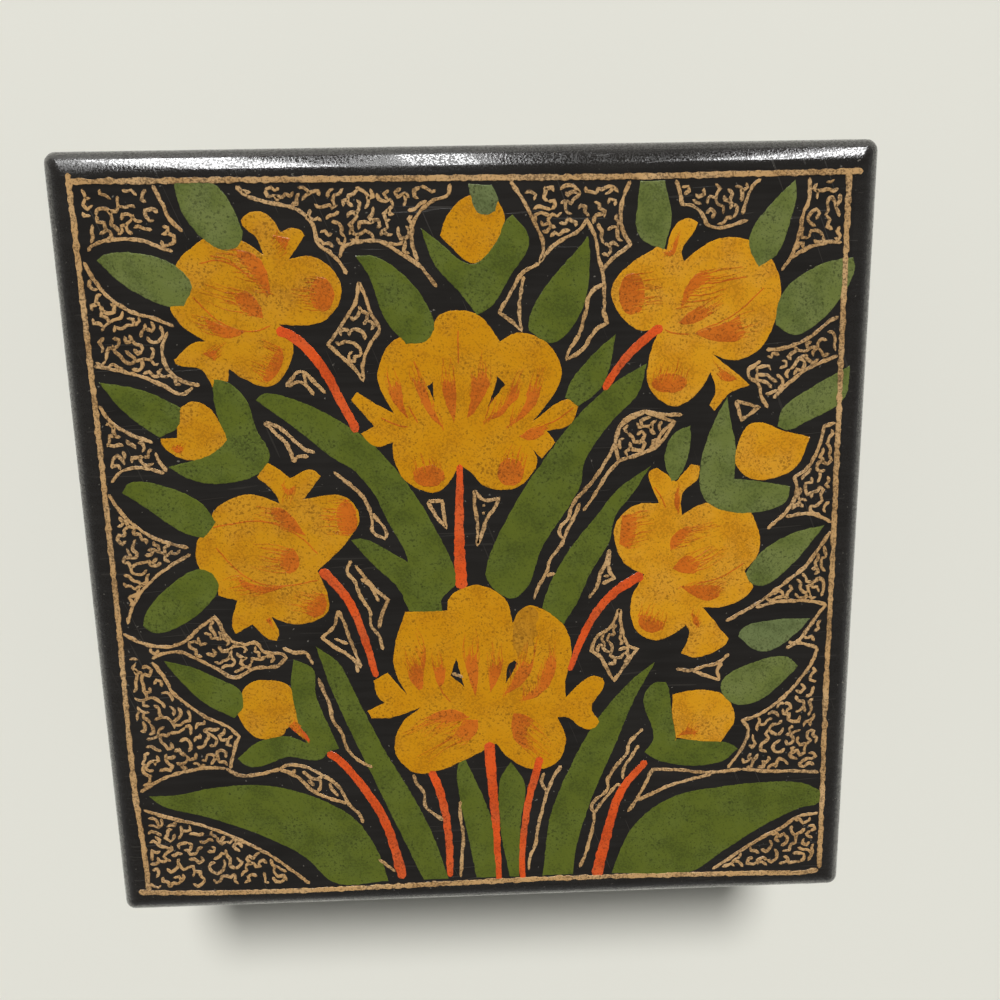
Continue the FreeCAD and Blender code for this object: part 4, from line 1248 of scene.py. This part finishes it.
class BOX_OT_paint_blades(bpy.types.Operator):
    """Paints the long leaves that rise from the lower edge"""

    bl_idname = "box.paint_blades"
    bl_label = "Paint the blades"

    def execute(self, context):
        lift = context.scene.box_paint.blade_lift
        painted_patches(BLADES, lift, lambda name: paint("Blade paint"))
        return {"FINISHED"}


class BOX_OT_paint_leaves(bpy.types.Operator):
    """Paints the short leaves round the blossoms and buds"""

    bl_idname = "box.paint_leaves"
    bl_label = "Paint the leaves"

    def execute(self, context):
        lift = context.scene.box_paint.leaf_lift
        painted_patches(LEAVES, lift, leaf_paint)
        painted_patches(RUBBED_LEAVES, lift, lambda name: paint("Rubbed leaf paint"))
        return {"FINISHED"}


class BOX_OT_paint_blossoms(bpy.types.Operator):
    """Paints the six blossoms"""

    bl_idname = "box.paint_blossoms"
    bl_label = "Paint the blossoms"

    def execute(self, context):
        lift = context.scene.box_paint.petal_lift
        painted_patches(BLOSSOMS, lift, petal_paint)
        painted_patches(SMUDGES, lift + SMUDGE_LIFT, lambda name: paint("Worn ochre paint"))
        return {"FINISHED"}


class BOX_OT_paint_buds(bpy.types.Operator):
    """Paints the five buds"""

    bl_idname = "box.paint_buds"
    bl_label = "Paint the buds"

    def execute(self, context):
        painted_patches(BUDS, context.scene.box_paint.petal_lift, petal_paint)
        return {"FINISHED"}


class BOX_OT_paint_stems(bpy.types.Operator):
    """Draws the red stems in single strokes"""

    bl_idname = "box.paint_stems"
    bl_label = "Paint the stems"

    def execute(self, context):
        height = context.scene.box_paint.stem_lift * MM
        for name, stems in drawn(STEMS).items():
            layer = PaintLayer(name)
            for stem in stems:
                points, (width, end_width) = noted(stem)
                layer.stroke(route(points), width * MM, height, STROKE_RIM, thin=end_width * MM)
            layer.finish(paint("Stem paint"))
        return {"FINISHED"}


class BOX_OT_shade_petals(bpy.types.Operator):
    """Shades the petals with orange patches, fine strokes and thin lines"""

    bl_idname = "box.shade_petals"
    bl_label = "Shade the petals"

    def execute(self, context):
        shading = context.scene.box_shading
        chance = random.Random(SHADING_SEED)
        spots = drawn(SHADED_SPOTS)
        lines = drawn(SHADING_LINES)
        for name, patches in drawn(SHADED_PATCHES).items():
            layer = PaintLayer(name)
            lights = PaintLayer(name.replace("shading", "petal_lights"))
            shapes = [self.shape(patch, text) for text in patches]
            shapes += [self.shape(spot, text) for text in spots.get(name, ())]
            height = shading.lift * MM
            for outline, pull in shapes:
                height += STEP_UP * MM
                layer.plate(outline, height, RIM)
            for outline, pull in shapes:
                feather(layer, lights, outline, pull, shading, chance, height + STEP_UP * MM)
            for points in lines.get(name, ()):
                height -= STEP_UP * MM
                layer.stroke(route(points), shading.line_width, height, STROKE_RIM / 2)
            layer.finish(paint("Orange paint"))
            lights.finish(petal_paint(name))
        return {"FINISHED"}

    def shape(self, outline_of, text):
        """A shaded shape's outline, and the way that its fine strokes run."""
        points, pull = noted(text)
        return outline_of(points), Vector(pull) * MM


class BOX_OT_paint_gaps(bpy.types.Operator):
    """Touches in the dark gaps between the petals of the centre blossoms"""

    bl_idname = "box.paint_gaps"
    bl_label = "Paint the gaps"

    def execute(self, context):
        lift = context.scene.box_shading.lift + STEP_UP
        painted_patches(GAPS, lift, lambda name: lacquer("lid"))
        return {"FINISHED"}


class BOX_OT_draw_gold(bpy.types.Operator):
    """Draws the gold frame, the cells along it and the curls that fill them"""

    bl_idname = "box.draw_gold"
    bl_label = "Draw the gold"

    def execute(self, context):
        gold = context.scene.box_gold
        chance = random.Random(gold.seed)
        self.draw_lines(GOLD_FRAME, gold.frame_width, gold)
        for name, cells in drawn(FILLED_CELLS).items():
            layer = PaintLayer(name)
            order = 0
            for cell in cells:
                strokes = cell.split("+")[0]
                for points in strokes.split("|"):
                    self.draw_line(layer, points, gold.cell_width, gold, order)
                    order += 1
                outline = millimetres(cell.replace("|", " ").replace("+", " "))
                for curl in curls_in(outline, gold, chance):
                    layer.stroke(curl, gold.curl_width, gold.lift * MM, STROKE_RIM, ragged=CURL_RAGGED)
            layer.finish(paint("Gold paint"))
        self.draw_lines(OPEN_CELLS, gold.cell_width, gold)
        return {"FINISHED"}

    def draw_lines(self, drawing, width, gold):
        """Makes one object of gold lines for each name in a drawing text."""
        for name, lines in drawn(drawing).items():
            layer = PaintLayer(name)
            for order, points in enumerate(lines):
                self.draw_line(layer, points, width, gold, order)
            layer.finish(paint("Gold paint"))

    def draw_line(self, layer, points, width, gold, order):
        """Draws one gold line, a hair above the one before where they cross."""
        height = (gold.lift + order * STEP_UP) * MM
        layer.stroke(route(points), width, height, STROKE_RIM, ragged=LINE_RAGGED)


# The camera stands where the photograph's perspective puts it; turns are in degrees
CAMERA_PLACE = (0.481 * MM, 37.101 * MM, 193.204 * MM)
CAMERA_TURN = (-11.141, -1.685, -1.169)
SENSOR_WIDTH = 36
# Soft panels behind the box: middle, width and height in metres
PANELS = (
    ((-0.43, 1.28, 0.75), 0.24, 1.3),
    ((-0.05, 1.28, 0.75), 0.12, 1.3),
    ((0.58, 1.2, 0.7), 0.15, 1.2),
)
SUN_TURN = (-41, 1, 0)
SUN_SOFTNESS = 13
# The surroundings' tint, and how far above eye level they reach their overhead brightness
SURROUNDINGS = (0.98, 0.98, 0.96, 1)
HORIZON_FADE = 0.55
FLOOR_HALF = 3.0
FLOOR_ROUGHNESS = 0.7
FLOOR_SHINE = 0.2


def turned(degrees):
    """The turn about X, Y and Z that an object takes."""
    return Euler([math.radians(turn) for turn in degrees])


class BOX_OT_set_stage(bpy.types.Operator):
    """Lays the pale floor and places the lights and the camera"""

    bl_idname = "box.set_stage"
    bl_label = "Set the stage"

    def execute(self, context):
        stage = context.scene.box_stage
        self.lay_floor(stage)
        self.hang_lights(stage)
        self.surround(context, stage)
        lens = bpy.data.cameras.new("Camera")
        lens.sensor_width = SENSOR_WIDTH
        lens.lens = stage.lens
        lens.clip_start = MM
        camera = placed("Camera", lens)
        camera.location = CAMERA_PLACE
        camera.rotation_euler = turned(CAMERA_TURN)
        context.scene.camera = camera
        context.scene.view_settings.view_transform = "Standard"
        return {"FINISHED"}

    def lay_floor(self, stage):
        """Lays a plain floor at the height of the box's underside."""
        sides = ((-1, -1), (1, -1), (1, 1), (-1, 1))
        corners = [(x * FLOOR_HALF, y * FLOOR_HALF, cad_low.z) for x, y in sides]
        mesh = bpy.data.meshes.new("floor")
        mesh.from_pydata(corners, [], [(0, 1, 2, 3)])
        material, tree, shader = new_material("Floor")
        connect(tree, shader, {
            "Base Color": (*stage.floor_colour, 1),
            "Roughness": FLOOR_ROUGHNESS,
            "Specular IOR Level": FLOOR_SHINE,
        })
        mesh.materials.append(material)
        placed("floor", mesh)

    def hang_lights(self, stage):
        """Hangs three soft panels behind the box and an even light above."""
        for number, (middle, width, height) in enumerate(PANELS):
            lamp = bpy.data.lights.new(f"Soft panel {number + 1}", "AREA")
            lamp.shape = "RECTANGLE"
            lamp.size, lamp.size_y = width, height
            lamp.energy = stage.glow * math.pi * width * height
            light = placed(lamp.name, lamp)
            light.location = middle
            light.rotation_euler = (-Vector(middle)).to_track_quat("-Z", "Y").to_euler()
            light.visible_diffuse = False
        sun = bpy.data.lights.new("Overhead light", "SUN")
        sun.energy = stage.sun_strength
        sun.angle = math.radians(SUN_SOFTNESS)
        light = placed(sun.name, sun)
        light.rotation_euler = turned(SUN_TURN)
        light.visible_glossy = False

    def surround(self, context, stage):
        """Puts pale surroundings round the scene, brighter at eye level than overhead."""
        world = bpy.data.worlds.new("Pale surroundings")
        world.use_nodes = True
        tree = world.node_tree
        outwards = add(tree, "ShaderNodeTexCoord").outputs["Generated"]
        upward = add(tree, "ShaderNodeSeparateXYZ", {0: outwards}).outputs["Z"]
        connect(tree, tree.nodes["Background"], {
            "Color": SURROUNDINGS,
            "Strength": ramp(tree, upward, 0.0, HORIZON_FADE, stage.horizon_strength, stage.zenith_strength),
        })
        context.scene.world = world


OPERATORS = (
    BOX_OT_finish_boards,
    BOX_OT_paint_blades,
    BOX_OT_paint_blossoms,
    BOX_OT_paint_buds,
    BOX_OT_paint_leaves,
    BOX_OT_paint_stems,
    BOX_OT_shade_petals,
    BOX_OT_paint_gaps,
    BOX_OT_draw_gold,
    BOX_OT_set_stage,
)
SETTINGS = {
    "box_paint": BoxPaintSettings,
    "box_shading": BoxShadingSettings,
    "box_gold": BoxGoldSettings,
    "box_stage": BoxStageSettings,
}


class BOX_PT_steps(bpy.types.Panel):
    """Lists the sizes and colours of the box, and the steps that make it"""

    bl_idname = "BOX_PT_steps"
    bl_label = "Papier mache box"
    bl_space_type = "VIEW_3D"
    bl_region_type = "UI"
    bl_category = "Box"

    def draw(self, context):
        for name, group in SETTINGS.items():
            section = self.layout.box()
            section.label(text=group.__doc__)
            for setting in group.__annotations__:
                section.prop(getattr(context.scene, name), setting)
        for operator in OPERATORS:
            self.layout.operator(operator.bl_idname)


def register():
    """Registers the settings, the steps and the panel."""
    for name, group in SETTINGS.items():
        bpy.utils.register_class(group)
        setattr(bpy.types.Scene, name, bpy.props.PointerProperty(type=group))
    for kind in (*OPERATORS, BOX_PT_steps):
        bpy.utils.register_class(kind)


def unregister():
    """Takes away what register added."""
    for kind in reversed((*OPERATORS, BOX_PT_steps)):
        bpy.utils.unregister_class(kind)
    for name, group in SETTINGS.items():
        delattr(bpy.types.Scene, name)
        bpy.utils.unregister_class(group)


def main():
    """Makes the whole box."""
    register()
    bpy.ops.box.finish_boards()
    bpy.ops.box.paint_blades()
    bpy.ops.box.paint_blossoms()
    bpy.ops.box.paint_buds()
    bpy.ops.box.paint_leaves()
    bpy.ops.box.paint_stems()
    bpy.ops.box.shade_petals()
    bpy.ops.box.paint_gaps()
    bpy.ops.box.draw_gold()
    bpy.ops.box.set_stage()


if __name__ == "__main__":
    main()
